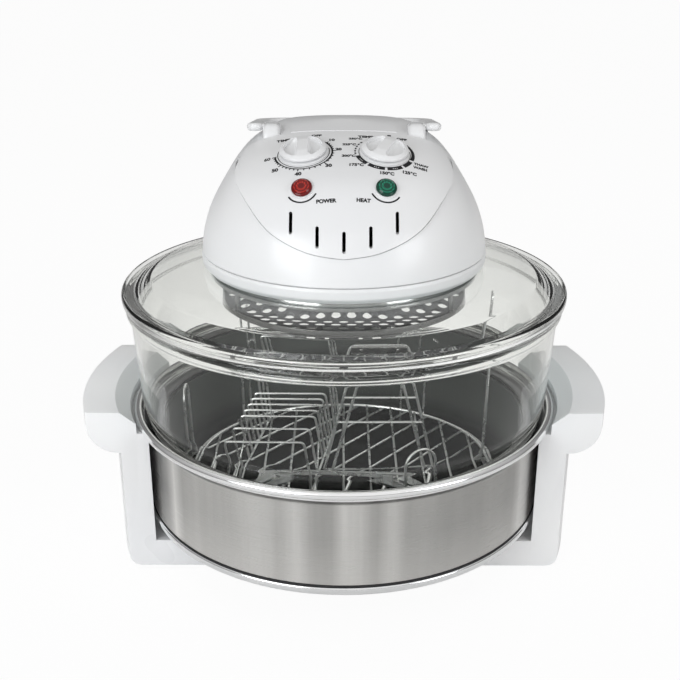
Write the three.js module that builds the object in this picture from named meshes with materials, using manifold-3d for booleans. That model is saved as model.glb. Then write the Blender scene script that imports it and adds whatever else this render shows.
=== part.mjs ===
// Halogen oven: a steel pot hung in a plastic cradle, a glass bowl on the pot, and a glass lid
// that carries the heater head. Millimetres, +Z up, the table at z = 0, the front towards -Y,
// and the oven's own axis along Z.
import * as THREE from 'three';
import { mergeVertices } from 'three/addons/utils/BufferGeometryUtils.js';
import Module from 'manifold-3d';

const wasm = await Module();
wasm.setup();

// Clearances and overruns
const fitGap = 0.3;
const cutOverrun = 6;

// Facets round a full turn: large rings, small turned pieces, wires
const ringSteps = 32;
const smallSteps = 12;
const wireSides = 5;

// Cradle: two moulded stands joined by a tray under the pot
const footHeight = 3;
const footRadius = 8;
const footInset = 17;
const plateHeight = 23;
const cradleHalfWidth = 69;
const standWall = 3;
const uprightThickness = 20;
const uprightClearance = 2.5;
const lugReach = 23.5;
const lugHeight = 34;
const lugRise = 11;
const lugCornerRadius = 22;
const toeRadius = 8;
const recessClearance = 2.6;
const recessSlopeWidth = 11;
const recessSlopeHeight = 9.5;
const seamOffset = 90;
const tongueLength = 30;
const tongueThickness = 4;
const bossRadius = 5;
const screwRadius = 1.8;
const screwHeadRadius = 3.4;
const screwHeadHeight = 2;
const screwLength = 14;
const screwSpacing = 84;

// Pot: steel shell with a rolled rim and a ledge, closed below by a ring and a plate
const potRadius = 160;
const potHeight = 87;
const potClearance = 14;
const sheetThickness = 1;
const rimBeadRadius = 3.2;
const rimOverhang = 9.4;
const ledgeDepth = 8.5;
const ledgeWidth = 14;
const ledgeLip = 4;
const baseRingHeight = 6;
const baseRingProud = 1.5;
const baseRingWidth = 11;
const baseRingShelf = 3;
const gasketHeight = 1.2;
const gasketWidth = 3;
const panThickness = 1.2;
const panFlangeWidth = 9;
const panFloorRadius = 9;

// Glass bowl: an open ring of glass that stands on the ledge
const bowlHeight = 96.2;
const bowlFootInset = 1.5;
const bowlFlare = 11;
const bowlWall = 5;
const bowlBeadHeight = 8;
const bowlBeadWidth = 9;

// Glass lid: a shallow dome with a rolled edge and a hole for the head
const lidEdgeOverhang = 2.5;
const lidEdgeHeight = 8.2;
const lidEdgeWidth = 10;
const lidRise = 22.4;
const lidGlass = 4.5;
const lidHoleMargin = 11.5;

// Head below the cover: white skirt, steel tray, clamp ring and reflector
const skirtProud = 0.5;
const skirtHeight = 11.7;
const skirtWall = 3;
const skirtFlange = 9;
const trayThickness = 1.2;
const clampThickness = 3;
const clampWidth = 11;
const clampWall = 5;
const reflectorThickness = 0.8;
const reflectorDepth = 12;
const reflectorSlope = 9;

// Guard: band, brackets and perforated plate under the heater
const guardMargin = 3;
const guardDrop = 32.3;
const guardBandHeight = 9;
const guardThickness = 1;
const guardLip = 3;
const guardHoleDiameter = 13;
const guardHolePitch = 22;
const bracketWidth = 7;
const bracketCount = 3;

// Heater: a ring of quartz tube with its two ends in ceramic sockets
const tubeDiameter = 11;
const tubeRingMargin = 33;
const tubeDrop = 19;
const tubeGapDeg = 34;
const socketSize = 17;
const socketHeight = 8;

// Head cover: heights and reaches of its level outlines, as shares of its height and radius
const coverHeight = 92.7;
const coverRadius = 109;
const coverWall = 2.6;
const coverSquareness = 0.5;
const coverOutlineShares = [
  { height: 0, side: 1, front: 1, rear: 1 },
  { height: 0.14, side: 0.985, front: 0.966, rear: 0.98 },
  { height: 0.29, side: 0.95, front: 0.917, rear: 0.936 },
  { height: 0.43, side: 0.9, front: 0.844, rear: 0.9 },
  { height: 0.64, side: 0.794, front: 0.688, rear: 0.807 },
  { height: 0.753, side: 0.725, front: 0.532, rear: 0.752 },
  { height: 0.839, side: 0.651, front: 0.349, rear: 0.697 },
  { height: 0.914, side: 0.541, front: 0.138, rear: 0.642 },
  { height: 0.968, side: 0.413, front: -0.092, rear: 0.55 },
  { height: 1, side: 0.08, front: -0.22, rear: 0.35 },
];
const coverSteps = 26;

// Control panel: a raised skin over the front of the cover, with its dials, lamps and slots
const panelProud = 1.6;
const panelOutlineShares = [
  [0, 0.215],
  [0.23, 0.253],
  [0.459, 0.36],
  [0.615, 0.516],
  [0.725, 0.666],
  [0.697, 0.79],
  [0.6, 0.9],
  [0.5, 1.1],
];
const panelRearShare = -0.055;
const dialSpacing = 58;
const dialEdgeDistance = 71.5;
const dialPadRadius = 21;
const dialPadProud = 1.2;
const lampSpacing = 58;
const lampEdgeDistance = 36;
const lampPadProud = 0.6;
const lampPadWidth = 1;
const slotSpacing = 18.2;
const slotWidth = 2.4;
const slotLength = 13.4;
const slotHeightShares = [0.44, 0.357, 0.326, 0.357, 0.44];

// Knobs and lamps on the panel
const knobRadius = 17.5;
const knobHeight = 5.5;
const knobRimHeight = 2;
const knobGripWidth = 10;
const knobScoopFront = 5;
const knobScoopRear = 8;
const knobScoopMargin = 4;
const spindleRadius = 3;
const spindleLength = 20;
const thermostatTurnDeg = -22;
const lampRadius = 7.3;
const lampDome = 3;
const lampStemRadius = 4.6;
const lampStemLength = 14;

// Controls behind the panel
const timerSize = 32;
const timerDepth = 16;
const thermostatRadius = 16;
const thermostatDepth = 12;
const controlDrop = 8;
const controlBushRadius = 4.6;

// Bail handle on the head: it lies back over the cover and swings up to lift the lid
const bailPivotShare = 0.6147;
const bailPivotY = 8;
const bailPivotHeight = 89.5;
const bailReach = 96;
const bailLieDeg = 7;
const bailArmWidth = 12;
const bailArmThickness = 6;
const bailCornerRadius = 30;
const bailPinRadius = 2.2;
const bailPinLength = 7;
const pivotBlockWidth = 13;
const pivotBlockLength = 26;
const pivotBlockHeight = 22;
const pivotBlockChamfer = 7;

// Safety switch and its plunger under the right arm of the bail
const switchWidth = 10;
const switchLength = 20;
const switchHeight = 14;
const plungerRadius = 2;
const plungerLength = 24;
const plungerFromPivot = 25;
const plungerInset = 4;

// Fan motor: laminated stator, coil, bracket, and a shaft with a fan at each end
const shaftRadius = 3;
const shaftBelowTray = 15;
const shaftAboveTray = 56;
const rotorRadius = 12;
const rotorHeight = 18;
const statorLength = 60;
const statorWidth = 44;
const statorLimb = 10;
const coilThickness = 7;
const coilWidth = 24;
const motorStandThickness = 1.5;
const motorStandSpan = 76;
const motorStandWidth = 20;
const motorStandHeight = 20;
const motorStandFoot = 9;
const fanHubRadius = 6;
const fanRadius = 44;
const coolingFanRadius = 26;
const fanHeight = 8;
const fanBladeThickness = 1.4;
const fanBladeTiltDeg = 35;
const fanBladeCount = 5;
const fanBladeShare = 1.4;

// Cord inlet at the rear of the cover
const glandRadius = 7;
const glandHeadRadius = 10;
const glandHeadLength = 6;
const glandLength = 12;
const glandBore = 3.6;
const glandHeight = 22;

// Round wire rack in the pan
const rackMargin = 33;
const rackHeight = 16;
const rackWire = 2;
const rackRingInset = 4.5;
const rackRingWire = 2.6;
const gridPitch = 22;
const gridTurnDeg = 52;
const liftLoopWidth = 24;
const liftLoopHeight = 88;
const liftLoopAnglesDeg = [-65, 60, 180];
const postWidth = 9;
const postHeight = 154;
const postBow = 8;
const postInset = 11;
const postAnglesDeg = [-7, 139];

// Toast rack: a row of bent wires on two rails
const toastWire = 2;
const toastWidth = 62;
const toastPitch = 12.5;
const toastHeight = 42;
const toastTallHeight = 65;
const toastLean = 6;
const toastBend = 4;
const toastCentreX = -62;
const toastFrontY = -51;
const toastSkewShare = 0.15;
const toastPlaces = [0, 2, 4, 5, 6, 7, 8, 9, 10, 11];
const toastTallFrom = 9;

// Lifting tongs: a bent wire frame with a riveted sheet handle
const tongsWire = 2.4;
const tongsTopWidth = 46;
const tongsFootWidth = 90;
const tongsHeight = 95;
const tongsCentreX = 29;
const tongsY = -20;
const tongsPlateHeight = 10;
const tongsPlateThickness = 1;
const tongsBarShares = [0.48, 0.72];
const tongsDoubling = 7;
const rodDiameter = 2.4;
const rodLength = 184;
const rodRise = 5;
const rodY = -35;
const rodPitch = 5;

// Heights, from the table up
const cradleBottomZ = footHeight;
const plateTopZ = cradleBottomZ + plateHeight;
const potBottomZ = plateTopZ + potClearance;
const potRimZ = potBottomZ + potHeight;
const ledgeZ = potRimZ - ledgeDepth;
const bowlFootZ = ledgeZ + fitGap;
const bowlRimZ = bowlFootZ + bowlHeight;
const lidFootZ = bowlRimZ + fitGap;
const lidTopZ = lidFootZ + lidRise;
const skirtZ = lidTopZ + fitGap;
const coverZ = skirtZ + skirtHeight + fitGap;
const trayZ = skirtZ + skirtWall + fitGap;
const panZ = potBottomZ + baseRingShelf + sheetThickness + 2 * fitGap;
const panFloorZ = panZ + panThickness;
const rackZ = panFloorZ + rackHeight;

// Radii that follow the pot and the cover
const rackRadius = potRadius - rackMargin;
const postRadius = rackRadius - postInset;
const bowlFootRadius = potRadius - bowlFootInset;
const bowlRimRadius = bowlFootRadius + bowlFlare;
const lidEdgeRadius = bowlRimRadius + lidEdgeOverhang;
const skirtRadius = coverRadius + skirtProud;
const lidHoleRadius = skirtRadius - lidHoleMargin;
const guardRadius = lidHoleRadius - guardMargin;
const tubeRingRadius = guardRadius - tubeRingMargin;
const dialForward = coverRadius - dialEdgeDistance;
const lampForward = coverRadius - lampEdgeDistance;

// Finishes
const whitePlastic = { color: 0xf1f1ef, roughness: 0.35, metalness: 0 };
const blackPlastic = { color: 0x17171a, roughness: 0.5, metalness: 0 };
const blackRubber = { color: 0x1d1d1f, roughness: 0.85, metalness: 0 };
const brushedSteel = { color: 0xb9b5ae, roughness: 0.38, metalness: 1 };
const brightSteel = { color: 0xd4d5d8, roughness: 0.16, metalness: 1 };
const blackEnamel = { color: 0x141416, roughness: 0.3, metalness: 0 };
const clearGlass = { color: 0xdfe9e6, roughness: 0.04, metalness: 0, transparent: true, opacity: 0.35 };
const quartzGlass = { color: 0xe8e4da, roughness: 0.1, metalness: 0, transparent: true, opacity: 0.7 };
const whiteCeramic = { color: 0xe9e5da, roughness: 0.6, metalness: 0 };
const darkSteel = { color: 0x6e7175, roughness: 0.5, metalness: 1 };
const copperWire = { color: 0xa8562a, roughness: 0.45, metalness: 1 };
const aluminium = { color: 0xc9cbcf, roughness: 0.4, metalness: 1 };
const redLens = { color: 0xc0271a, roughness: 0.15, metalness: 0 };
const greenLens = { color: 0x1f8f6a, roughness: 0.15, metalness: 0 };

// One closed body: shared corners merged, flat slivers dropped, faces turned outwards
function closed(geometry) {
  geometry.deleteAttribute('normal');
  geometry.deleteAttribute('uv');
  const merged = mergeVertices(geometry);
  const place = merged.getAttribute('position');
  const corners = [0, 1, 2].map(() => new THREE.Vector3());
  const faces = [];
  let volume = 0;
  for (let i = 0; i < merged.index.count; i += 3) {
    const face = [0, 1, 2].map((step) => merged.index.getX(i + step));
    if (face[0] === face[1] || face[1] === face[2] || face[2] === face[0]) {
      continue;
    }
    corners.forEach((corner, step) => corner.fromBufferAttribute(place, face[step]));
    volume += corners[0].dot(corners[1].clone().cross(corners[2]));
    faces.push(face);
  }
  const outward = volume < 0 ? faces.map(([a, b, c]) => [a, c, b]) : faces;
  merged.setIndex(outward.flat());
  return merged;
}

function solidOf(geometry) {
  const merged = closed(geometry.clone());
  const mesh = new wasm.Mesh({
    numProp: 3,
    vertProperties: new Float32Array(merged.getAttribute('position').array),
    triVerts: new Uint32Array(merged.index.array),
  });
  return new wasm.Manifold(mesh);
}

function geometryOf(solid) {
  const mesh = solid.getMesh();
  const geometry = new THREE.BufferGeometry();
  geometry.setAttribute('position', new THREE.BufferAttribute(new Float32Array(mesh.vertProperties), 3));
  geometry.setIndex(new THREE.BufferAttribute(new Uint32Array(mesh.triVerts), 1));
  return geometry;
}

function cut(base, ...tools) {
  const result = tools.reduce((solid, tool) => solid.subtract(solidOf(tool)), solidOf(base));
  return geometryOf(result);
}

function join(base, ...others) {
  const result = others.reduce((solid, other) => solid.add(solidOf(other)), solidOf(base));
  return geometryOf(result);
}

function common(base, other) {
  return geometryOf(solidOf(base).intersect(solidOf(other)));
}

const radians = (degrees) => THREE.MathUtils.degToRad(degrees);

// Points on an arc, by centre, radius and angles in degrees
function arc(x, y, radius, fromDeg, toDeg, steps) {
  return Array.from({ length: steps + 1 }, (_, i) => {
    const angle = radians(fromDeg + ((toDeg - fromDeg) * i) / steps);
    return [x + radius * Math.cos(angle), y + radius * Math.sin(angle)];
  });
}

// A ring turned about Z from a closed outline of [radius, height] points
function turned(outline, steps = ringSteps) {
  const points = [...outline, outline[0]].map(([radius, height]) => new THREE.Vector2(radius, height));
  const geometry = new THREE.LatheGeometry(points, steps);
  geometry.rotateX(Math.PI / 2);
  return closed(geometry);
}

// A box between two corners
function block([x0, y0, z0], [x1, y1, z1]) {
  const geometry = new THREE.BoxGeometry(x1 - x0, y1 - y0, z1 - z0);
  geometry.translate((x0 + x1) / 2, (y0 + y1) / 2, (z0 + z1) / 2);
  return closed(geometry);
}

// A round bar along Z
function bar(radius, fromZ, toZ, x = 0, y = 0, steps = smallSteps) {
  const geometry = new THREE.CylinderGeometry(radius, radius, toZ - fromZ, steps);
  geometry.rotateX(Math.PI / 2);
  geometry.translate(x, y, (fromZ + toZ) / 2);
  return closed(geometry);
}

// A wire through chosen points, with one ring of corners at each point
class WirePath extends THREE.Curve {
  constructor(points) {
    super();
    this.points = points.map(([x, y, z]) => new THREE.Vector3(x, y, z));
  }

  nearest(share) {
    return Math.round(share * (this.points.length - 1));
  }

  getPointAt(share, target = new THREE.Vector3()) {
    return target.copy(this.points[this.nearest(share)]);
  }

  getTangentAt(share, target = new THREE.Vector3()) {
    const here = this.nearest(share);
    const before = this.points[Math.max(here - 1, 0)];
    const after = this.points[Math.min(here + 1, this.points.length - 1)];
    const middle = this.points[here];
    const arriving = middle.clone().sub(before).normalize();
    const leaving = after.clone().sub(middle).normalize();
    return target.copy(arriving.add(leaving).normalize());
  }
}

function wire(points, diameter, sides = wireSides) {
  const section = arc(0, 0, diameter / 2, 0, 360, sides).slice(0, sides);
  const shape = new THREE.Shape(section.map(([x, y]) => new THREE.Vector2(x, y)));
  const path = new WirePath(points);
  const steps = points.length - 1;
  return closed(new THREE.ExtrudeGeometry(shape, { steps, extrudePath: path, bevelEnabled: false }));
}

// Corners of a bent wire, each replaced by a short round bend
function bent(corners, bend, steps = 2) {
  const places = corners.map(([x, y, z]) => new THREE.Vector3(x, y, z));
  const points = [];
  places.forEach((corner, i) => {
    if (i === 0 || i === places.length - 1) {
      points.push(corner.toArray());
      return;
    }
    const before = places[i - 1].clone().sub(corner).setLength(bend).add(corner);
    const after = places[i + 1].clone().sub(corner).setLength(bend).add(corner);
    const curve = new THREE.QuadraticBezierCurve3(before, corner, after);
    curve.getPoints(steps).forEach((point) => points.push(point.toArray()));
  });
  return points;
}

const oven = new THREE.Group();

function assembly(parent) {
  const group = new THREE.Group();
  parent.add(group);
  return group;
}

function piece(parent, name, geometry, finish) {
  const mesh = new THREE.Mesh(geometry, new THREE.MeshStandardMaterial(finish));
  mesh.name = name;
  parent.add(mesh);
  return mesh;
}

// Cradle
const cradle = assembly(oven);
const uprightInner = potRadius + baseRingProud + uprightClearance;
const uprightOuter = uprightInner + uprightThickness;
const lugOuter = uprightOuter + lugReach;
const lugTopZ = potRimZ + lugRise;
const lugBottomZ = lugTopZ - lugHeight;
const rimOuter = potRadius + rimOverhang;
const seatZ = potRimZ - 2 * rimBeadRadius - fitGap;
const recessRadius = rimOuter + recessClearance;

// The stand's section about the oven's axis, or the hollow inside it for a wall above zero
function standOutline(wall) {
  const bottomZ = wall > 0 ? cradleBottomZ - cutOverrun : cradleBottomZ;
  const cornerX = lugOuter - lugCornerRadius;
  const cornerZ = lugBottomZ + lugCornerRadius;
  return [
    [seamOffset / 2, bottomZ],
    [uprightOuter - toeRadius, bottomZ],
    ...arc(uprightOuter - toeRadius, cradleBottomZ + toeRadius, toeRadius - wall, -90, 0, 2),
    [uprightOuter - wall, lugBottomZ + wall],
    ...arc(cornerX, cornerZ, lugCornerRadius - wall, -90, 0, 4),
    [lugOuter - wall, lugTopZ - wall],
    [recessRadius + recessSlopeWidth + wall / 2, lugTopZ - wall],
    [recessRadius + wall, lugTopZ - recessSlopeHeight - wall / 2],
    [recessRadius + wall, seatZ - wall],
    [uprightInner + wall, seatZ - wall],
    [uprightInner + wall, plateTopZ - wall],
    [seamOffset / 2, plateTopZ - wall],
  ];
}

const standSteps = 48;
const farX = lugOuter + cutOverrun;
const standTopZ = lugTopZ + cutOverrun;
const screwX = seamOffset + tongueLength / 2;
const footX = uprightOuter - footInset;
const footY = cradleHalfWidth - footInset;
const screwY = screwSpacing / 2;
const tongueTopZ = cradleBottomZ + tongueThickness;

function stand() {
  const outside = block([seamOffset + fitGap, -cradleHalfWidth, 0], [farX, cradleHalfWidth, standTopZ]);
  const inY = cradleHalfWidth - standWall;
  const inside = block([seamOffset + fitGap + standWall, -inY, -cutOverrun], [farX, inY, standTopZ]);
  const body = common(turned(standOutline(0), standSteps), outside);
  const hollow = common(turned(standOutline(standWall), standSteps), inside);
  const mouth = block(
    [seamOffset, -inY, 0],
    [seamOffset + standWall + 2 * fitGap, inY, tongueTopZ + fitGap],
  );
  let shell = cut(body, hollow, mouth);
  for (const side of [-1, 1]) {
    const screwBoss = bar(bossRadius, tongueTopZ + fitGap, plateTopZ - standWall / 2, screwX, side * screwY);
    const footBoss = bar(bossRadius, cradleBottomZ, plateTopZ - standWall / 2, footX, side * footY);
    shell = join(shell, screwBoss, footBoss);
    const pilotTopZ = cradleBottomZ + screwLength + fitGap;
    shell = cut(shell, bar(screwRadius + fitGap, 0, pilotTopZ, screwX, side * screwY));
  }
  return shell;
}

const rightStand = stand();
const leftStand = rightStand.clone().rotateZ(Math.PI);
piece(cradle, 'cradle_stand_right', rightStand, whitePlastic);
piece(cradle, 'cradle_stand_left', leftStand, whitePlastic);

function cradleTray() {
  const inX = seamOffset - standWall;
  const inY = cradleHalfWidth - standWall;
  const tongueY = inY - fitGap;
  const tongueX = seamOffset + tongueLength;
  const hollowTopZ = plateTopZ - standWall;
  let tray = cut(
    block([-seamOffset, -cradleHalfWidth, cradleBottomZ], [seamOffset, cradleHalfWidth, plateTopZ]),
    block([-inX, -inY, 0], [inX, inY, hollowTopZ]),
  );
  for (const side of [-1, 1]) {
    const ends = [side * inX, side * tongueX].sort((a, b) => a - b);
    tray = join(tray, block([ends[0], -tongueY, cradleBottomZ], [ends[1], tongueY, tongueTopZ]));
    for (const along of [-1, 1]) {
      const x = side * screwX;
      const y = along * screwY;
      const counterboreZ = cradleBottomZ + screwHeadHeight + fitGap;
      tray = cut(tray, bar(screwRadius + fitGap, 0, plateTopZ, x, y));
      tray = cut(tray, bar(screwHeadRadius + fitGap, 0, counterboreZ, x, y));
    }
  }
  return tray;
}

piece(cradle, 'cradle_tray', cradleTray(), whitePlastic);

const screwOutline = [
  [0, 0],
  [screwHeadRadius, 0],
  [screwHeadRadius, screwHeadHeight],
  [screwRadius, screwHeadHeight],
  [screwRadius, screwLength],
  [0, screwLength],
];
const corners = [
  ['front_right', 1, -1],
  ['front_left', -1, -1],
  ['rear_right', 1, 1],
  ['rear_left', -1, 1],
];
for (const [name, sideX, sideY] of corners) {
  const screw = piece(cradle, `cradle_screw_${name}`, turned(screwOutline, smallSteps), brightSteel);
  screw.position.set(sideX * screwX, sideY * screwY, cradleBottomZ);
  const pad = bar(footRadius, 0, footHeight - fitGap, 0, 0, smallSteps);
  const foot = piece(cradle, `rubber_foot_${name}`, pad, blackRubber);
  foot.position.set(sideX * footX, sideY * footY, 0);
}

// Pot
const pot = assembly(oven);
const beadX = rimOuter - rimBeadRadius;
const beadZ = potRimZ - rimBeadRadius;
const ledgeInner = potRadius - ledgeWidth;
const skirtX = beadX - rimBeadRadius;
const potInner = potRadius - sheetThickness;
const gasketZ = potBottomZ + baseRingHeight + fitGap;
const wallBottomZ = gasketZ + gasketHeight + fitGap;
const ledgeUnderZ = ledgeZ - sheetThickness;
const flareX = skirtX + fitGap;
const shellOutline = [
  [potRadius, wallBottomZ],
  [potRadius, ledgeUnderZ - rimBeadRadius],
  [flareX, ledgeUnderZ],
  [flareX, beadZ - rimBeadRadius],
  ...arc(beadX, beadZ, rimBeadRadius, -90, 180, 5),
  [skirtX - sheetThickness / 2, ledgeZ],
  [ledgeInner, ledgeZ],
  [ledgeInner, ledgeZ - ledgeLip],
  [ledgeInner + sheetThickness, ledgeZ - ledgeLip],
  [ledgeInner + sheetThickness, ledgeUnderZ],
  [potInner, ledgeUnderZ],
  [potInner, wallBottomZ],
];
piece(pot, 'pot_shell', turned(shellOutline), brushedSteel);

const gasketOutline = [
  [potRadius - gasketWidth, gasketZ],
  [potRadius, gasketZ],
  [potRadius, gasketZ + gasketHeight],
  [potRadius - gasketWidth, gasketZ + gasketHeight],
];
piece(pot, 'pot_gasket', turned(gasketOutline), blackRubber);

const baseRingOuter = potRadius + baseRingProud;
const baseRingInner = baseRingOuter - baseRingWidth;
const baseShelfX = potRadius - gasketWidth;
const baseRingTopZ = potBottomZ + baseRingHeight;
const baseShelfZ = potBottomZ + baseRingShelf;
const baseRingOutline = [
  [baseRingInner, potBottomZ],
  [baseRingOuter - baseRingProud, potBottomZ],
  [baseRingOuter, potBottomZ + baseRingProud],
  [baseRingOuter, baseRingTopZ - baseRingProud],
  [baseRingOuter - baseRingProud, baseRingTopZ],
  [baseShelfX, baseRingTopZ],
  [baseShelfX, baseShelfZ],
  [baseRingInner, baseShelfZ],
];
piece(pot, 'pot_base_ring', turned(baseRingOutline), brightSteel);

const basePlateZ = baseShelfZ + fitGap;
const basePlate = bar(baseShelfX - fitGap, basePlateZ, basePlateZ + sheetThickness, 0, 0, ringSteps);
piece(pot, 'pot_base_plate', basePlate, darkSteel);

const panTopZ = ledgeZ - ledgeLip - fitGap;
const panOuter = ledgeInner;
const panOutline = [
  [0, panZ],
  [panOuter - panFloorRadius, panZ],
  ...arc(panOuter - panFloorRadius, panZ + panFloorRadius, panFloorRadius, -60, 0, 2),
  [panOuter, panTopZ - panThickness],
  [panOuter + panFlangeWidth, panTopZ - panThickness],
  [panOuter + panFlangeWidth, panTopZ],
  [panOuter - panThickness, panTopZ],
  ...arc(panOuter - panFloorRadius, panZ + panFloorRadius, panFloorRadius - panThickness, 0, -60, 2),
  [panOuter - panFloorRadius, panFloorZ],
  [0, panFloorZ],
];
piece(pot, 'inner_pan', turned(panOutline), blackEnamel);

// Wire rack: two rings, one above the other, each with its own set of parallel wires
const rack = assembly(pot);

function wireRing(radius, diameter, z) {
  return turned(arc(radius, z, diameter / 2, 0, 360, wireSides).slice(0, wireSides));
}

function rackLayer(radius, z, turnDeg) {
  const reach = Math.floor(radius / gridPitch);
  let layer = wireRing(radius, rackRingWire, z);
  for (let i = -reach; i <= reach; i += 1) {
    const offset = i * gridPitch;
    const half = Math.sqrt(radius * radius - offset * offset);
    const ends = [
      [offset, -half, z],
      [offset, half, z],
    ];
    const strand = wire(ends, rackWire);
    strand.rotateZ(radians(turnDeg));
    layer = join(layer, strand);
  }
  return layer;
}

const rackLowerZ = rackZ - rackRingWire - fitGap;
const diagonalTurnDeg = gridTurnDeg - 90;
const innerRackRadius = rackRadius - rackRingInset;
piece(rack, 'rack_upper_grid', rackLayer(innerRackRadius, rackZ, 0), brightSteel);
piece(rack, 'rack_lower_grid', rackLayer(rackRadius, rackLowerZ, diagonalTurnDeg), brightSteel);

// A hoop of wire that stands outside the rack's rings and reaches down to the pan's floor
const hoopLegRadius = rackRadius + (rackRingWire + rackWire) / 2;
const hoopRadius = Math.sqrt(hoopLegRadius ** 2 - (liftLoopWidth / 2) ** 2);
const hoopFootZ = panFloorZ + fitGap;
const hoopTopSteps = 6;

function liftLoop() {
  const half = liftLoopWidth / 2;
  const archZ = hoopFootZ + liftLoopHeight - half;
  const arch = arc(0, archZ, half, 0, 180, hoopTopSteps).map(([y, z]) => [hoopRadius, y, z]);
  return wire([[hoopRadius, half, hoopFootZ], ...arch, [hoopRadius, -half, hoopFootZ]], rackWire);
}

const loopNames = ['front', 'rear', 'left'];
liftLoopAnglesDeg.forEach((angleDeg, i) => {
  const loop = piece(rack, `rack_lift_loop_${loopNames[i]}`, liftLoop(), brightSteel);
  loop.rotation.z = radians(angleDeg);
});

// A tall narrow hoop whose feet lie on the inner ring, bowed outwards a third of the way up
function tallPost() {
  const half = postWidth / 2;
  const topZ = rackZ + postHeight;
  const footZ = rackZ + rackRingWire / 2 + rackWire / 2 + fitGap;
  const ringX = innerRackRadius + rackRingWire / 2;
  const bowZ = footZ + postHeight / 3;
  const lowX = postRadius - postBow / 2;
  const highX = postRadius + postBow / 2;
  const arch = arc(0, topZ - half, half, 0, 180, hoopTopSteps - 2).map(([y, z]) => [lowX, y, z]);
  const path = [
    [ringX, half, footZ],
    [lowX, half, footZ],
    [highX, half, bowZ],
    ...arch,
    [highX, -half, bowZ],
    [lowX, -half, footZ],
    [ringX, -half, footZ],
  ];
  return wire(path, rackWire);
}

const postNames = ['right', 'left'];
postAnglesDeg.forEach((angleDeg, i) => {
  const post = piece(rack, `rack_tall_post_${postNames[i]}`, tallPost(), brightSteel);
  post.rotation.z = radians(angleDeg);
});

// Toast rack
const toastRack = assembly(rack);
const restZ = rackZ + rackWire / 2 + fitGap;

function toastFrame() {
  const railZ = restZ + toastWire / 2;
  const lastY = toastFrontY + toastPitch * toastPlaces[toastPlaces.length - 1];
  const skewAt = (y) => (y - toastFrontY) * toastSkewShare;
  let frame = null;
  for (const side of [-1, 1]) {
    const railX = toastCentreX + (side * toastWidth) / 2 + toastLean;
    const ends = [
      [railX, toastFrontY - toastPitch / 2, railZ],
      [railX + skewAt(lastY), lastY + toastPitch / 2, railZ],
    ];
    const rail = wire(ends, toastWire);
    frame = frame === null ? solidOf(rail) : frame.add(solidOf(rail));
  }
  for (const place of toastPlaces) {
    const y = toastFrontY + toastPitch * place;
    const height = place < toastTallFrom ? toastHeight : toastTallHeight;
    const left = toastCentreX - toastWidth / 2 + skewAt(y);
    const right = left + toastWidth;
    const topZ = railZ + height;
    const path = [
      [left + toastLean, y, railZ],
      [left, y, topZ],
      [right, y, topZ],
      [right + toastLean, y, railZ],
    ];
    frame = frame.add(solidOf(wire(bent(path, toastBend), toastWire)));
  }
  return geometryOf(frame);
}

piece(toastRack, 'toast_rack', toastFrame(), brightSteel);

// Lifting tongs
const tongs = assembly(rack);
const tongsFootZ = restZ + tongsWire / 2;
const tongsTopZ = tongsFootZ + tongsHeight;

function tongsFrame() {
  const halfTop = tongsTopWidth / 2;
  const halfFoot = tongsFootWidth / 2;
  const outer = [
    [tongsCentreX - halfFoot, tongsY, tongsFootZ],
    [tongsCentreX - halfTop, tongsY, tongsTopZ],
    [tongsCentreX + halfTop, tongsY, tongsTopZ],
    [tongsCentreX + halfFoot, tongsY, tongsFootZ],
  ];
  const innerTopZ = tongsTopZ - tongsDoubling;
  const innerFoot = halfFoot - tongsDoubling;
  const inner = [
    [tongsCentreX - innerFoot, tongsY, tongsFootZ],
    [tongsCentreX - halfTop + tongsDoubling, tongsY, innerTopZ],
    [tongsCentreX + halfTop - tongsDoubling, tongsY, innerTopZ],
    [tongsCentreX + innerFoot, tongsY, tongsFootZ],
  ];
  const footBar = [
    [tongsCentreX - halfFoot, tongsY, tongsFootZ],
    [tongsCentreX + halfFoot, tongsY, tongsFootZ],
  ];
  let frame = join(wire(bent(outer, tongsWire * 2), tongsWire), wire(footBar, tongsWire));
  frame = join(frame, wire(bent(inner, tongsWire * 2), tongsWire));
  for (const share of tongsBarShares) {
    const half = THREE.MathUtils.lerp(halfFoot, halfTop, share);
    const z = THREE.MathUtils.lerp(tongsFootZ, tongsTopZ, share);
    const ends = [
      [tongsCentreX - half, tongsY, z],
      [tongsCentreX + half, tongsY, z],
    ];
    frame = join(frame, wire(ends, tongsWire));
  }
  return frame;
}

piece(tongs, 'tongs_frame', tongsFrame(), brightSteel);

const tongsPlateY = tongsY - tongsWire / 2 - fitGap;
const tongsPlateHalf = tongsTopWidth / 2;
const tongsPlate = block(
  [tongsCentreX - tongsPlateHalf, tongsPlateY - tongsPlateThickness, tongsTopZ - tongsPlateHeight],
  [tongsCentreX + tongsPlateHalf, tongsPlateY, tongsTopZ],
);
piece(tongs, 'tongs_plate', tongsPlate, brushedSteel);

// Two bowed rods that lie side by side over the toast rack's rails and down onto the mesh
function bowedRod(y) {
  const lowZ = restZ + rodDiameter / 2;
  const highZ = lowZ + toastWire + fitGap;
  const half = rodLength / 2;
  const path = [
    [-half, y, highZ],
    [-half / 2, y + rodRise / 2, highZ],
    [toastCentreX + toastWidth / 2 + 2 * toastLean, y + rodRise, highZ],
    [half / 2, y + rodRise / 2, lowZ],
    [half, y, lowZ],
  ];
  return wire(path, rodDiameter);
}

piece(toastRack, 'toast_rod_front', bowedRod(rodY - rodPitch), brightSteel);
piece(toastRack, 'toast_rod_rear', bowedRod(rodY), brightSteel);

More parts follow.
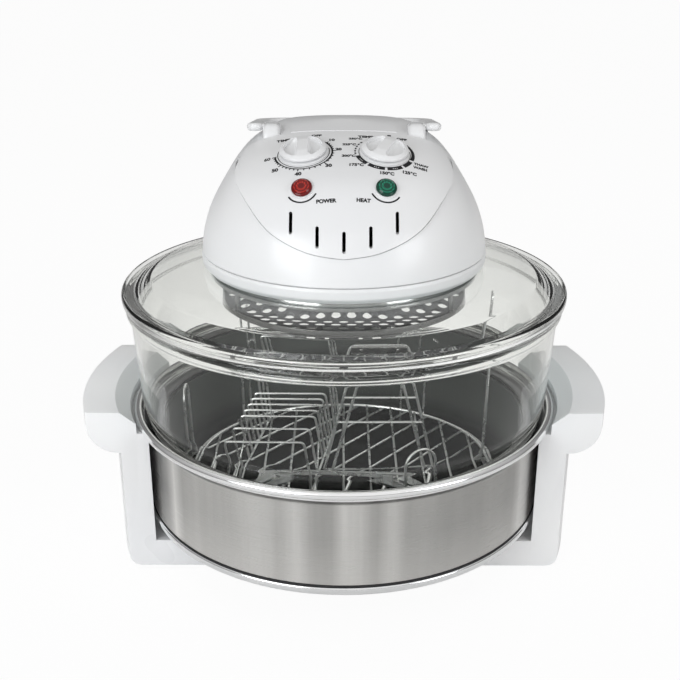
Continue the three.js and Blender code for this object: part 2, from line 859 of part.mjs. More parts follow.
// Glass bowl
const bowl = assembly(pot);
const beadFootZ = bowlRimZ - bowlBeadHeight;
const bowlUpper = bowlRimRadius - bowlBeadWidth / 2 + bowlWall / 4;
const bowlFootInner = bowlFootRadius - bowlWall;
const bowlMiddleShare = 0.18;
const bowlMiddleRadius = THREE.MathUtils.lerp(bowlFootRadius, bowlUpper, 0.45);
const bowlMiddleZ = THREE.MathUtils.lerp(bowlFootZ, bowlRimZ, bowlMiddleShare);
const bowlBeadInner = bowlRimRadius - bowlBeadWidth;
const beadRound = bowlBeadHeight / 4;
const bowlOutline = [
  [bowlFootRadius, bowlFootZ],
  [bowlMiddleRadius, bowlMiddleZ],
  [bowlUpper, beadFootZ - beadRound],
  [bowlRimRadius, beadFootZ + beadRound],
  [bowlRimRadius, bowlRimZ - beadRound],
  [bowlRimRadius - beadRound, bowlRimZ],
  [bowlBeadInner + beadRound, bowlRimZ],
  [bowlBeadInner, bowlRimZ - beadRound],
  [bowlUpper - bowlWall, beadFootZ - beadRound],
  [bowlMiddleRadius - bowlWall, bowlMiddleZ],
  [bowlFootInner, bowlFootZ],
];
piece(bowl, 'glass_bowl', turned(bowlOutline), clearGlass);

// Glass lid
const lid = assembly(bowl);
const lidEdgeInner = lidEdgeRadius - lidEdgeWidth;
const edgeTopZ = lidFootZ + lidEdgeHeight;
const edgeRound = lidEdgeHeight / 4;
const domeShares = [
  [1, 0.06],
  [0.8, 0.5],
  [0.5, 0.86],
  [0.22, 0.97],
];
const domeSpan = lidEdgeInner - lidHoleRadius;
const domeRise = lidTopZ - edgeTopZ;
const domeTop = domeShares.map(([reach, rise]) => [
  lidHoleRadius + domeSpan * reach,
  edgeTopZ + domeRise * rise,
]);
const domeUnder = domeTop.slice(1).reverse().map(([radius, z]) => [radius, z - lidGlass]);
const lidOutline = [
  [lidEdgeInner, lidFootZ],
  [lidEdgeRadius - edgeRound, lidFootZ],
  [lidEdgeRadius, lidFootZ + edgeRound],
  [lidEdgeRadius, edgeTopZ - edgeRound],
  [lidEdgeRadius - edgeRound, edgeTopZ],
  ...domeTop,
  [lidHoleRadius, lidTopZ],
  [lidHoleRadius, lidTopZ - lidGlass],
  ...domeUnder,
];
piece(lid, 'glass_lid', turned(lidOutline), clearGlass);

// Clamp ring below the glass, skirt above it, and the steel tray inside the skirt
const clampTopZ = lidTopZ - lidGlass - fitGap;
const clampInner = lidHoleRadius - fitGap - clampWall;
const clampOutline = [
  [clampInner, clampTopZ - clampThickness],
  [clampInner + clampWidth, clampTopZ - clampThickness],
  [clampInner + clampWidth, clampTopZ],
  [lidHoleRadius - fitGap, clampTopZ],
  [lidHoleRadius - fitGap, trayZ - fitGap],
  [clampInner, trayZ - fitGap],
];
piece(lid, 'lid_clamp_ring', turned(clampOutline), brightSteel);

const skirtStep = skirtHeight / 6;
const skirtOutline = [
  [skirtRadius - skirtFlange, skirtZ],
  [skirtRadius - skirtWall, skirtZ],
  [skirtRadius - skirtStep, skirtZ + skirtStep],
  [skirtRadius, coverZ - fitGap - skirtStep],
  [skirtRadius - skirtStep / 2, coverZ - fitGap],
  [skirtRadius - skirtWall, coverZ - fitGap],
  [skirtRadius - skirtWall, skirtZ + skirtWall],
  [skirtRadius - skirtFlange, skirtZ + skirtWall],
];
piece(lid, 'head_skirt', turned(skirtOutline), whitePlastic);

const trayRadius = skirtRadius - skirtWall - fitGap;
const trayTopZ = trayZ + trayThickness;
const shaftHole = shaftRadius + 2 * fitGap;
const headTray = cut(
  bar(trayRadius, trayZ, trayTopZ, 0, 0, ringSteps),
  bar(shaftHole, trayZ - cutOverrun, trayTopZ + cutOverrun),
);
piece(lid, 'head_tray', headTray, darkSteel);

const strapOuter = clampInner * Math.cos(Math.PI / ringSteps) - fitGap;
const reflectorRadius = strapOuter - guardThickness - fitGap;
const reflectorTopZ = trayZ - fitGap;
const reflectorOutline = [
  [shaftHole, reflectorTopZ - reflectorThickness],
  [shaftHole, reflectorTopZ],
  [reflectorRadius - reflectorSlope, reflectorTopZ],
  [reflectorRadius, reflectorTopZ - reflectorDepth],
  [reflectorRadius - reflectorThickness, reflectorTopZ - reflectorDepth],
  [reflectorRadius - reflectorSlope - reflectorThickness, reflectorTopZ - reflectorThickness],
];
piece(lid, 'heat_reflector', turned(reflectorOutline), brightSteel);

// Guard: the band hangs on brackets that run up inside the clamp ring
const guardZ = trayZ - fitGap - guardDrop;
const guardBandOutline = [
  [guardRadius - guardLip, guardZ],
  [guardRadius, guardZ],
  [guardRadius, guardZ + guardBandHeight],
  [guardRadius - guardThickness, guardZ + guardBandHeight],
  [guardRadius - guardThickness, guardZ + guardThickness],
  [guardRadius - guardLip, guardZ + guardThickness],
];

function guardFrame() {
  const strap = block(
    [strapOuter - guardThickness, -bracketWidth / 2, guardZ + guardBandHeight / 2],
    [strapOuter, bracketWidth / 2, trayZ - fitGap],
  );
  const tab = block(
    [strapOuter - guardThickness, -bracketWidth / 2, guardZ + guardBandHeight / 2],
    [guardRadius - guardThickness / 2, bracketWidth / 2, guardZ + guardBandHeight / 2 + guardThickness],
  );
  let frame = turned(guardBandOutline);
  for (let i = 0; i < bracketCount; i += 1) {
    const turn = (Math.PI * 2 * i) / bracketCount - Math.PI / 2 - Math.PI / bracketCount;
    frame = join(frame, strap.clone().rotateZ(turn), tab.clone().rotateZ(turn));
  }
  return frame;
}

piece(lid, 'guard_frame', guardFrame(), brightSteel);

// The perforated plate drops into the band and lies on its lip
function guardPlate() {
  const radius = guardRadius - guardThickness - 2 * fitGap;
  const edge = arc(0, 0, radius, 0, 360, ringSteps).slice(0, ringSteps);
  const shape = new THREE.Shape(edge.map(([x, y]) => new THREE.Vector2(x, y)));
  const rowPitch = guardHolePitch * Math.sin(Math.PI / 3);
  const reach = Math.ceil(radius / rowPitch);
  const limit = guardRadius - guardLip - guardHoleDiameter / 2 - guardThickness;
  for (let row = -reach; row <= reach; row += 1) {
    for (let column = -reach; column <= reach; column += 1) {
      const x = (column + Math.abs(row % 2) / 2) * guardHolePitch;
      const y = row * rowPitch;
      if (Math.hypot(x, y) > limit) {
        continue;
      }
      const hole = arc(x, y, guardHoleDiameter / 2, 0, -360, 6).slice(0, 6);
      shape.holes.push(new THREE.Path(hole.map(([a, b]) => new THREE.Vector2(a, b))));
    }
  }
  const plate = new THREE.ExtrudeGeometry(shape, { depth: guardThickness, bevelEnabled: false });
  plate.translate(0, 0, guardZ + guardThickness + fitGap);
  return closed(plate);
}

piece(lid, 'guard_plate', guardPlate(), brightSteel);

// Halogen tube: its ends turn up into the ceramic sockets
const tubeZ = trayZ - tubeDrop;
const socketTopZ = reflectorTopZ - reflectorThickness - fitGap;
const socketZ = socketTopZ - socketHeight;
const tubeSteps = 26;

function halogenTube() {
  const start = 90 + tubeGapDeg / 2;
  const loop = arc(0, 0, tubeRingRadius, start, start + 360 - tubeGapDeg, tubeSteps);
  const path = loop.map(([x, y]) => [x, y, tubeZ]);
  const first = loop[0];
  const last = loop[loop.length - 1];
  const endZ = socketZ - fitGap;
  return wire([[...first, endZ], ...path, [...last, endZ]], tubeDiameter, 6);
}

piece(lid, 'halogen_tube', halogenTube(), quartzGlass);
for (const [name, side] of [['left', -1], ['right', 1]]) {
  const angle = radians(90 - (side * tubeGapDeg) / 2);
  const half = socketSize / 2;
  const socket = piece(lid, `lamp_socket_${name}`, block([-half, -half, 0], [half, half, socketHeight]), whiteCeramic);
  socket.position.set(tubeRingRadius * Math.cos(angle), tubeRingRadius * Math.sin(angle), socketZ);
}

// Head cover: level outlines stacked into one dome, smaller by `wall` for the hollow inside
function coverForm(wall) {
  const rings = coverOutlineShares.map((outline) => {
    const side = outline.side * coverRadius - wall;
    const front = outline.front * coverRadius - wall;
    const rear = outline.rear * coverRadius - wall;
    const centre = (rear - front) / 2;
    const depth = Math.max((rear + front) / 2, 0);
    const power = 2 / (2 + coverSquareness * outline.height);
    const z = coverZ + outline.height * coverHeight - (outline.height > 0 ? wall : 0);
    return Array.from({ length: coverSteps }, (_, i) => {
      const angle = (Math.PI * 2 * i) / coverSteps;
      const across = Math.sign(Math.cos(angle)) * Math.abs(Math.cos(angle)) ** power;
      const along = Math.sign(Math.sin(angle)) * Math.abs(Math.sin(angle)) ** power;
      return [Math.max(side, 0) * across, centre + depth * along, z];
    });
  });
  return stacked(rings);
}

// A closed skin over a stack of rings that all have the same number of points
function stacked(rings) {
  const count = rings[0].length;
  const middle = (ring) => [0, 1, 2].map((axis) => ring.reduce((sum, point) => sum + point[axis], 0) / count);
  const points = [...rings.flat(), middle(rings[0]), middle(rings[rings.length - 1])];
  const faces = [];
  for (let i = 0; i < count; i += 1) {
    const next = (i + 1) % count;
    for (let level = 0; level + 1 < rings.length; level += 1) {
      const low = level * count;
      const high = low + count;
      faces.push([low + i, low + next, high + next], [low + i, high + next, high + i]);
    }
    const top = (rings.length - 1) * count;
    faces.push([points.length - 2, next, i], [points.length - 1, top + i, top + next]);
  }
  const geometry = new THREE.BufferGeometry();
  geometry.setAttribute('position', new THREE.Float32BufferAttribute(points.flat(), 3));
  geometry.setIndex(faces.flat());
  return closed(geometry);
}

// The cover's outer skin, as a mesh that rays can meet
const panelSkin = new THREE.Mesh(coverForm(-panelProud), new THREE.MeshBasicMaterial());
panelSkin.updateMatrixWorld(true);

function heightOnPanel(x, y) {
  const above = new THREE.Vector3(x, y, coverZ + coverHeight * 2);
  const ray = new THREE.Raycaster(above, new THREE.Vector3(0, 0, -1));
  return ray.intersectObject(panelSkin)[0].point.z;
}

// A seat on the panel for a round piece: the middle of the skin inside its rim, square to the slope
function panelSeat(x, y, radius) {
  const step = radius / Math.SQRT2;
  const rise = (heightOnPanel(x, y + step) - heightOnPanel(x, y - step)) / (2 * step);
  const lean = (heightOnPanel(x + step, y) - heightOnPanel(x - step, y)) / (2 * step);
  const normal = new THREE.Vector3(-lean, -rise, 1).normalize();
  const turn = new THREE.Quaternion().setFromUnitVectors(new THREE.Vector3(0, 0, 1), normal);
  return new THREE.Matrix4().compose(
    new THREE.Vector3(x, y, heightOnPanel(x, y)),
    turn,
    new THREE.Vector3(1, 1, 1),
  );
}

const dialSeats = [-1, 1].map((side) => panelSeat((side * dialSpacing) / 2, -dialForward, dialPadRadius));
const lampSeats = [-1, 1].map((side) => panelSeat((side * lampSpacing) / 2, -lampForward, lampRadius));

function panelSlots() {
  return slotHeightShares.map((share, i) => {
    const x = (i - (slotHeightShares.length - 1) / 2) * slotSpacing;
    const halfWidth = slotWidth / 2;
    const halfLength = slotLength / 2;
    const z = coverZ + share * coverHeight;
    return block(
      [x - halfWidth, -coverRadius - cutOverrun, z - halfLength],
      [x + halfWidth, -coverRadius / 3, z + halfLength],
    );
  });
}

function bores() {
  const reach = timerDepth + dialPadProud + cutOverrun;
  return [
    ...dialSeats.map((seat) => bar(controlBushRadius + fitGap, -reach, reach).applyMatrix4(seat)),
    ...lampSeats.map((seat) => bar(lampStemRadius + fitGap, -reach, reach).applyMatrix4(seat)),
  ];
}

function panelRegion() {
  const right = panelOutlineShares.map(([across, up]) => [across * coverRadius, up * coverHeight]);
  const left = right.slice(1).reverse().map(([x, z]) => [-x, z]);
  const outline = [...right, ...left].map(([x, z]) => new THREE.Vector2(x, coverZ + z));
  const depth = coverRadius * (1 + panelRearShare) + cutOverrun;
  const region = new THREE.ExtrudeGeometry(new THREE.Shape(outline), { depth, bevelEnabled: false });
  region.rotateX(Math.PI / 2);
  region.translate(0, coverRadius * panelRearShare, 0);
  return closed(region);
}

function controlPanel() {
  const skin = common(coverForm(-panelProud), panelRegion());
  const pads = [
    ...dialSeats.map((seat) => bar(dialPadRadius, -coverWall, dialPadProud, 0, 0, 18).applyMatrix4(seat)),
    ...lampSeats.map((seat) => bar(lampRadius + lampPadWidth, -coverWall, lampPadProud).applyMatrix4(seat)),
  ];
  return cut(join(skin, ...pads), coverForm(-fitGap), ...bores(), ...panelSlots());
}

piece(lid, 'control_panel', controlPanel(), whitePlastic);

// Bail and switch places, which the cover's holes follow
const pivotX = coverRadius * bailPivotShare;
const pivotZ = coverZ + bailPivotHeight;
const plungerX = pivotX - plungerInset;
const plungerY = bailPivotY + plungerFromPivot;
const plungerTopZ = pivotZ - plungerFromPivot * Math.tan(radians(bailLieDeg)) - bailArmThickness / 2 - 2 * fitGap;
const glandZ = coverZ + glandHeight;

// A round bar along Y at the height of the cord inlet
function inletBar(radius, fromY, toY) {
  const blank = bar(radius, fromY, toY);
  blank.rotateX(-Math.PI / 2);
  blank.translate(0, 0, glandZ);
  return blank;
}

function headCover() {
  const inner = coverForm(coverWall);
  const hollow = join(inner, inner.clone().translate(0, 0, -cutOverrun));
  const inletHole = inletBar(glandRadius + fitGap, coverRadius / 2, coverRadius + cutOverrun);
  const plungerHole = bar(plungerRadius + fitGap, coverZ, pivotZ, plungerX, plungerY);
  return cut(coverForm(0), hollow, inletHole, plungerHole, ...bores(), ...panelSlots());
}

piece(lid, 'head_cover', headCover(), whitePlastic);

// Pivot blocks for the bail, shaped to the cover below them
function pivotBlock(side) {
  const inner = pivotX - bailArmWidth / 2 - fitGap - pivotBlockWidth;
  const half = pivotBlockLength / 2;
  const top = bailArmThickness / 2;
  const outline = [
    [-half, -pivotBlockHeight],
    [half, -pivotBlockHeight],
    [half, top - pivotBlockChamfer],
    [half - pivotBlockChamfer, top],
    [pivotBlockChamfer - half, top],
    [-half, top - pivotBlockChamfer],
  ];
  const shape = new THREE.Shape(outline.map(([y, z]) => new THREE.Vector2(y, z)));
  const body = new THREE.ExtrudeGeometry(shape, { depth: pivotBlockWidth, bevelEnabled: false });
  const bore = bar(bailPinRadius + fitGap, -cutOverrun, pivotBlockWidth + cutOverrun);
  for (const form of [body, bore]) {
    form.rotateX(Math.PI / 2);
    form.rotateZ(Math.PI / 2);
    form.translate(side > 0 ? inner : -inner - pivotBlockWidth, bailPivotY, pivotZ);
  }
  return cut(body, bore, coverForm(-fitGap));
}

piece(lid, 'bail_pivot_right', pivotBlock(1), whitePlastic);
piece(lid, 'bail_pivot_left', pivotBlock(-1), whitePlastic);

// Bail: a flat bow with a pin stub at the end of each arm
function bailBow() {
  const outerX = pivotX + bailArmWidth / 2;
  const innerX = pivotX - bailArmWidth / 2;
  const innerY = bailReach - bailArmWidth;
  const innerCorner = bailCornerRadius - bailArmWidth;
  const end = bailArmWidth / 2;
  const cornerY = bailReach - bailCornerRadius;
  const cornerX = outerX - bailCornerRadius;
  const rightHalf = [
    ...arc(pivotX, 0, end, -180, 0, 4),
    ...arc(cornerX, cornerY, bailCornerRadius, 0, 90, 4),
  ];
  const insideRight = arc(cornerX, innerY - innerCorner, innerCorner, 90, 0, 3);
  const mirrored = (points) => points.map(([x, y]) => [-x, y]).reverse();
  const outline = [...rightHalf, ...mirrored(rightHalf), ...mirrored(insideRight), ...insideRight];
  const shape = new THREE.Shape(outline.map(([x, y]) => new THREE.Vector2(x, y)));
  const bow = new THREE.ExtrudeGeometry(shape, { depth: bailArmThickness, bevelEnabled: false });
  bow.translate(0, 0, -bailArmThickness / 2);
  const stubs = [-1, 1].map((side) => {
    const stub = bar(bailPinRadius, -bailPinLength, 1);
    stub.rotateY((side * Math.PI) / 2);
    stub.translate(side * innerX, 0, 0);
    return stub;
  });
  return join(bow, ...stubs);
}

const bail = assembly(lid);
const bow = piece(bail, 'bail_handle', bailBow(), whitePlastic);
bow.position.set(0, bailPivotY, pivotZ);
bow.rotation.x = radians(-bailLieDeg);

// Safety switch inside the cover, and the plunger that the right arm of the bail holds down
const plungerFootZ = plungerTopZ - plungerLength;
const plunger = assembly(lid);
const pin = bar(plungerRadius, plungerFootZ, plungerTopZ, plungerX, plungerY);
piece(plunger, 'switch_plunger', pin, blackPlastic);
const switchTopZ = plungerFootZ - fitGap;
const switchBody = block(
  [plungerX + plungerRadius - switchWidth, plungerY - switchLength / 2, switchTopZ - switchHeight],
  [plungerX + plungerRadius, plungerY + switchLength / 2, switchTopZ],
);
piece(lid, 'safety_switch', switchBody, blackPlastic);

// Knobs: a low dome with a closed scoop on each side of its grip and a spindle behind
function knobForm() {
  const foot = dialPadProud + fitGap;
  const crown = foot + knobHeight;
  const outline = [
    [0, foot],
    [knobRadius, foot],
    [knobRadius, foot + knobRimHeight],
    [knobRadius * 0.8, foot + knobHeight * 0.72],
    [knobRadius * 0.45, crown - knobHeight * 0.05],
    [0, crown],
  ];
  const dome = turned(outline, 18);
  const half = knobGripWidth / 2;
  const far = knobRadius - knobScoopMargin;
  const scoopFloor = foot + knobRimHeight;
  const scoops = [
    block([half, -knobScoopFront, scoopFloor], [far, knobScoopRear, crown + cutOverrun]),
    block([-far, -knobScoopFront, scoopFloor], [-half, knobScoopRear, crown + cutOverrun]),
  ];
  const spindle = bar(spindleRadius, foot - spindleLength, foot + knobRimHeight / 2);
  return join(cut(dome, ...scoops), spindle);
}

function dialGroup(seat) {
  const group = assembly(lid);
  group.applyMatrix4(seat);
  return group;
}

const leftDial = dialGroup(dialSeats[0]);
const rightDial = dialGroup(dialSeats[1]);
piece(leftDial, 'timer_knob', knobForm(), whitePlastic);
const thermostatKnob = piece(rightDial, 'thermostat_knob', knobForm(), whitePlastic);
thermostatKnob.rotation.z = radians(thermostatTurnDeg);

// The works behind each knob hang from a bush that passes through the cover
function dialWorks(body) {
  const bush = bar(controlBushRadius, -controlDrop - fitGap, dialPadProud - fitGap);
  const bore = bar(spindleRadius + fitGap, dialPadProud - spindleLength - fitGap, dialPadProud);
  return cut(join(body, bush), bore);
}

const timerHalf = timerSize / 2;
const timerBody = block(
  [-timerHalf, -timerHalf, -controlDrop - timerDepth],
  [timerHalf, timerHalf, -controlDrop],
);
piece(leftDial, 'timer_unit', dialWorks(timerBody), blackPlastic);
const thermostatBody = bar(thermostatRadius, -controlDrop - thermostatDepth, -controlDrop, 0, 0, 18);
piece(rightDial, 'thermostat_unit', dialWorks(thermostatBody), darkSteel);

// Pilot lamps: a domed lens with a stem through the panel and the cover
const lampFoot = lampPadProud + fitGap;
const lampOutline = [
  [0, lampFoot - lampStemLength],
  [lampStemRadius, lampFoot - lampStemLength],
  [lampStemRadius, lampFoot],
  [lampRadius, lampFoot],
  [lampRadius, lampFoot + lampDome / 3],
  [lampRadius * 0.7, lampFoot + lampDome * 0.8],
  [0, lampFoot + lampDome],
];
const lampLenses = [
  ['red', redLens],
  ['green', greenLens],
];
lampLenses.forEach(([name, lens], i) => {
  const lamp = piece(lid, `pilot_lamp_${name}`, turned(lampOutline, smallSteps), lens);
  lamp.applyMatrix4(lampSeats[i]);
});

// Cord inlet at the rear
const inletY = coverRadius * 0.96;
const inletEndY = inletY + glandHeadLength;
const inletHead = cut(inletBar(glandHeadRadius, inletY - glandHeadLength, inletEndY), coverForm(-fitGap));
const inletGland = cut(
  join(inletHead, inletBar(glandRadius, inletY - glandLength, inletEndY - glandHeadLength / 2)),
  inletBar(glandBore, inletY - glandLength - cutOverrun, inletEndY + cutOverrun),
);
piece(lid, 'cord_inlet', inletGland, blackRubber);

// Fan motor on a folded steel stand
const standFootZ = trayTopZ + fitGap;
const standPlateZ = standFootZ + motorStandHeight;
const statorZ = standPlateZ + motorStandThickness + fitGap;
const statorTopZ = statorZ + rotorHeight;

function motorStand() {
  const halfSpan = motorStandSpan / 2;
  const halfWidth = motorStandWidth / 2;
  const top = block([-halfWidth, -halfSpan, standPlateZ], [halfWidth, halfSpan, standPlateZ + motorStandThickness]);
  const legs = [-1, 1].flatMap((side) => {
    const legY = [side * halfSpan, side * (halfSpan - motorStandThickness)].sort((a, b) => a - b);
    const footY = [side * (halfSpan - motorStandThickness), side * (halfSpan + motorStandFoot)].sort((a, b) => a - b);
    return [
      block([-halfWidth, legY[0], standFootZ], [halfWidth, legY[1], standPlateZ + motorStandThickness / 2]),
      block([-halfWidth, footY[0], standFootZ], [halfWidth, footY[1], standFootZ + motorStandThickness]),
    ];
  });
  return cut(join(top, ...legs), bar(shaftHole, standFootZ, statorZ));
}

piece(lid, 'motor_stand', motorStand(), darkSteel);

const statorX0 = -statorLength / 3;
const statorX1 = statorX0 + statorLength;
const limbX = statorX1 - statorLimb;
const windowX = limbX - coilThickness - 2 * fitGap;
const statorBody = cut(
  block([statorX0, -statorWidth / 2, statorZ], [statorX1, statorWidth / 2, statorTopZ]),
  bar(rotorRadius + 2 * fitGap, statorZ - cutOverrun, statorTopZ + cutOverrun),
  block(
    [windowX, -coilWidth / 2 - 2 * fitGap, statorZ - cutOverrun],
    [limbX, coilWidth / 2 + 2 * fitGap, statorTopZ + cutOverrun],
  ),
);
piece(lid, 'motor_stator', statorBody, darkSteel);

const coilReach = coilWidth / 2 + cutOverrun;
const motorCoil = cut(
  block(
    [limbX - coilThickness, -coilWidth / 2, statorZ - coilThickness],
    [statorX1 + coilThickness, coilWidth / 2, statorTopZ + coilThickness],
  ),
  block(
    [limbX - fitGap, -coilReach, statorZ - fitGap],
    [statorX1 + fitGap, coilReach, statorTopZ + fitGap],
  ),
);
piece(lid, 'motor_coil', motorCoil, copperWire);

// Shaft with the rotor, the hot-air fan under the reflector and the cooling fan over the motor
const rotor = assembly(lid);
const shaftFootZ = trayZ - shaftBelowTray;
const shaftTopZ = trayTopZ + shaftAboveTray;
const rotorZ = statorZ + 2 * fitGap;
const shaft = join(
  bar(shaftRadius, shaftFootZ, shaftTopZ),
  bar(rotorRadius, rotorZ, rotorZ + rotorHeight - 2 * fitGap),
);
piece(rotor, 'motor_shaft', shaft, brushedSteel);

function fan(radius) {
  const hub = bar(fanHubRadius, 0, fanHeight);
  const halfWidth = (fanHeight * fanBladeShare) / 2;
  const halfThickness = fanBladeThickness / 2;
  const blades = Array.from({ length: fanBladeCount }, (_, i) => {
    const blade = block([fanHubRadius * 0.8, -halfWidth, -halfThickness], [radius, halfWidth, halfThickness]);
    blade.rotateX(radians(fanBladeTiltDeg));
    blade.translate(0, 0, fanHeight / 2);
    blade.rotateZ((Math.PI * 2 * i) / fanBladeCount);
    return blade;
  });
  return cut(join(hub, ...blades), bar(shaftRadius + fitGap, -cutOverrun, fanHeight + cutOverrun));
}

const hotFan = piece(rotor, 'hot_air_fan', fan(fanRadius), aluminium);
hotFan.position.z = shaftFootZ + fitGap;
const coolingFan = piece(rotor, 'cooling_fan', fan(coolingFanRadius), whitePlastic);
coolingFan.position.z = shaftTopZ - fanHeight;

export default oven;
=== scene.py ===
import math

import bmesh
import bpy
from mathutils import Matrix, Vector
from mathutils.bvhtree import BVHTree


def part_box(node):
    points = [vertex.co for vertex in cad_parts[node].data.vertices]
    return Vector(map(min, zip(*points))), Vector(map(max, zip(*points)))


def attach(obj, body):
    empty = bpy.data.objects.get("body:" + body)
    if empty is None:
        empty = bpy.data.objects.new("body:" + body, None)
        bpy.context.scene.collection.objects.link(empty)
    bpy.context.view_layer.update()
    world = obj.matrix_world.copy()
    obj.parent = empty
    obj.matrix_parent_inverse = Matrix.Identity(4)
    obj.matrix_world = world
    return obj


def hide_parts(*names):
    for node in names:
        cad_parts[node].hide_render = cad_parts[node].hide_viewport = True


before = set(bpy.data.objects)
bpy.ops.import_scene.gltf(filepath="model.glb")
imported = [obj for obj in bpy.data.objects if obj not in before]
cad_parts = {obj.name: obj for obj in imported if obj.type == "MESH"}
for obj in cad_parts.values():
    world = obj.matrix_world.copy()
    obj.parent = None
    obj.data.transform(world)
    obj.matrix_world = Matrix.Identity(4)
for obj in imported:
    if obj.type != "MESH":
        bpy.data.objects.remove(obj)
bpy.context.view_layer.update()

# A tripod in front of the oven, a little above the lid, looks down on it. Its place and lens
# are those that put the rims, the pot and the stands where the photograph shows them.
camera_place = Vector((0, -0.76, 0.47136))
camera_pitch = 0.37726
camera_yaw = -0.00404
camera_lens_widths = 1014.68 / 680


def linked(name, data):
    """A new object in the scene."""
    item = bpy.data.objects.new(name, data)
    bpy.context.scene.collection.objects.link(item)
    return item


view_out = Vector((
    math.sin(camera_yaw) * math.cos(camera_pitch),
    math.cos(camera_yaw) * math.cos(camera_pitch),
    -math.sin(camera_pitch),
))
view_right = Vector((math.cos(camera_yaw), -math.sin(camera_yaw), 0))
view_up = view_right.cross(view_out)
camera_data = bpy.data.cameras.new("front_camera")
camera_data.sensor_width = 36
camera_data.lens = camera_data.sensor_width * camera_lens_widths
camera_data.clip_start = 0.01
camera_data.clip_end = 100
camera = linked("front_camera", camera_data)
view_axes = Matrix((view_right, view_up, -view_out)).transposed()
camera.matrix_world = Matrix.Translation(camera_place) @ view_axes.to_4x4()
bpy.context.scene.camera = camera
bpy.context.scene.view_settings.view_transform = "Standard"


# The oven stands on a plain white table in a white studio. Two soft boxes hang in front of it
# and one behind, and a narrow soft spot on each side reaches the top of a lug.
class Socket:
    """A shader socket that adds Math nodes where it stands in a Python expression."""

    def __init__(self, finish, output):
        self.finish = finish
        self.output = output

    def math(self, operation, *values):
        return self.finish.node("ShaderNodeMath", {"operation": operation}, *values)

    def __add__(self, other):
        return self.math("ADD", self, other)

    def __sub__(self, other):
        return self.math("SUBTRACT", self, other)

    def __rsub__(self, other):
        return self.math("SUBTRACT", other, self)

    def __mul__(self, other):
        return self.math("MULTIPLY", self, other)

    def __truediv__(self, other):
        return self.math("DIVIDE", self, other)

    __radd__ = __add__
    __rmul__ = __mul__

    def axis(self, name):
        return self.finish.node("ShaderNodeSeparateXYZ", None, self, out=name)

    def length(self):
        return self.finish.node("ShaderNodeVectorMath", {"operation": "LENGTH"}, self, out="Value")

    def range(self, low, high, to_low=0.0, to_high=1.0):
        """Carries low..high of this value over to to_low..to_high, and no further."""
        values = {"Value": self, "From Min": low, "From Max": high, "To Min": to_low, "To Max": to_high}
        return self.finish.node("ShaderNodeMapRange", {"clamp": True}, **values)


class Finish:
    """A material with one Principled shader, its slot's name, and ways to put nodes before it."""

    def __init__(self, name, slot=None, owner=None, **constants):
        self.slot = slot or name
        self.owner = owner or bpy.data.materials.new(name)
        self.owner.use_nodes = True
        self.tree = self.owner.node_tree
        self.tree.nodes.clear()
        kind = "ShaderNodeOutputMaterial" if owner is None else "ShaderNodeOutputWorld"
        self.output = self.tree.nodes.new(kind)
        if owner is None:
            self.shader = self.tree.nodes.new("ShaderNodeBsdfPrincipled")
            self.base = Socket(self, self.shader.outputs[0])
            self.surface(self.base)
            self.feed(**constants)

    def put(self, target, value):
        if isinstance(value, Socket):
            self.tree.links.new(value.output, target)
        else:
            target.default_value = value

    def surface(self, shader):
        self.put(self.output.inputs["Surface"], shader)

    def node(self, kind, settings=None, *values, out=0, **named):
        made = self.tree.nodes.new(kind)
        for key, value in (settings or {}).items():
            if key == "stops":
                ramp = made.color_ramp.elements
                while len(ramp) < len(value):
                    ramp.new(0.5)
                for stop, (place, tone) in zip(ramp, value):
                    stop.position = place
                    stop.color = tone
            else:
                setattr(made, key, value)
        for target, value in zip(made.inputs, values):
            self.put(target, value)
        for key, value in named.items():
            self.put(made.inputs[key], value)
        return Socket(self, made.outputs[out])

    def feed(self, **sockets):
        for key, value in sockets.items():
            self.put(self.shader.inputs[key.replace("_", " ")], value)

    def varied(self, value, first, second, smooth, rough, **others):
        """Lets one value carry the colour and the roughness from one end to the other."""
        roughness = value.range(0.3, 0.7, smooth, rough)
        self.feed(Base_Color=self.mix(value, first, second), Roughness=roughness, **others)

    def place(self):
        return self.node("ShaderNodeTexCoord", None, out="Object")

    def ray(self, kind):
        return self.node("ShaderNodeLightPath", None, out=f"Is {kind} Ray")

    def stretched(self, scale, offset=(0, 0, 0)):
        """Object coordinates, stretched by a scale for each axis."""
        return self.node("ShaderNodeMapping", None, Vector=self.place(), Scale=scale, Location=offset)

    def noise(self, scale, detail=3.0, roughness=0.5, stretch=(1, 1, 1)):
        values = {"Vector": self.stretched(stretch), "Scale": scale, "Detail": detail, "Roughness": roughness}
        return self.node("ShaderNodeTexNoise", None, **values)

    def waves(self, axis, scale):
        return self.node("ShaderNodeTexWave", {"bands_direction": axis}, self.place(), scale, out="Fac")

    def mix(self, share, first, second):
        """Two colours, mixed by a share."""
        blend = self.node("ShaderNodeMix", {"data_type": "RGBA"}, share, out=2)
        for place, value in ((6, first), (7, second)):
            self.put(blend.output.node.inputs[place], value)
        return blend

    def mixed(self, share, first, second):
        """Two shaders, mixed by a share."""
        return self.node("ShaderNodeMixShader", None, share, first, second)

    def bump(self, height, distance, strength=1.0):
        values = {"Height": height, "Distance": distance, "Strength": strength}
        return self.node("ShaderNodeBump", None, **values)


def colour(red, green, blue):
    return (red, green, blue, 1.0)


def grey(tone):
    return colour(tone, tone, tone)


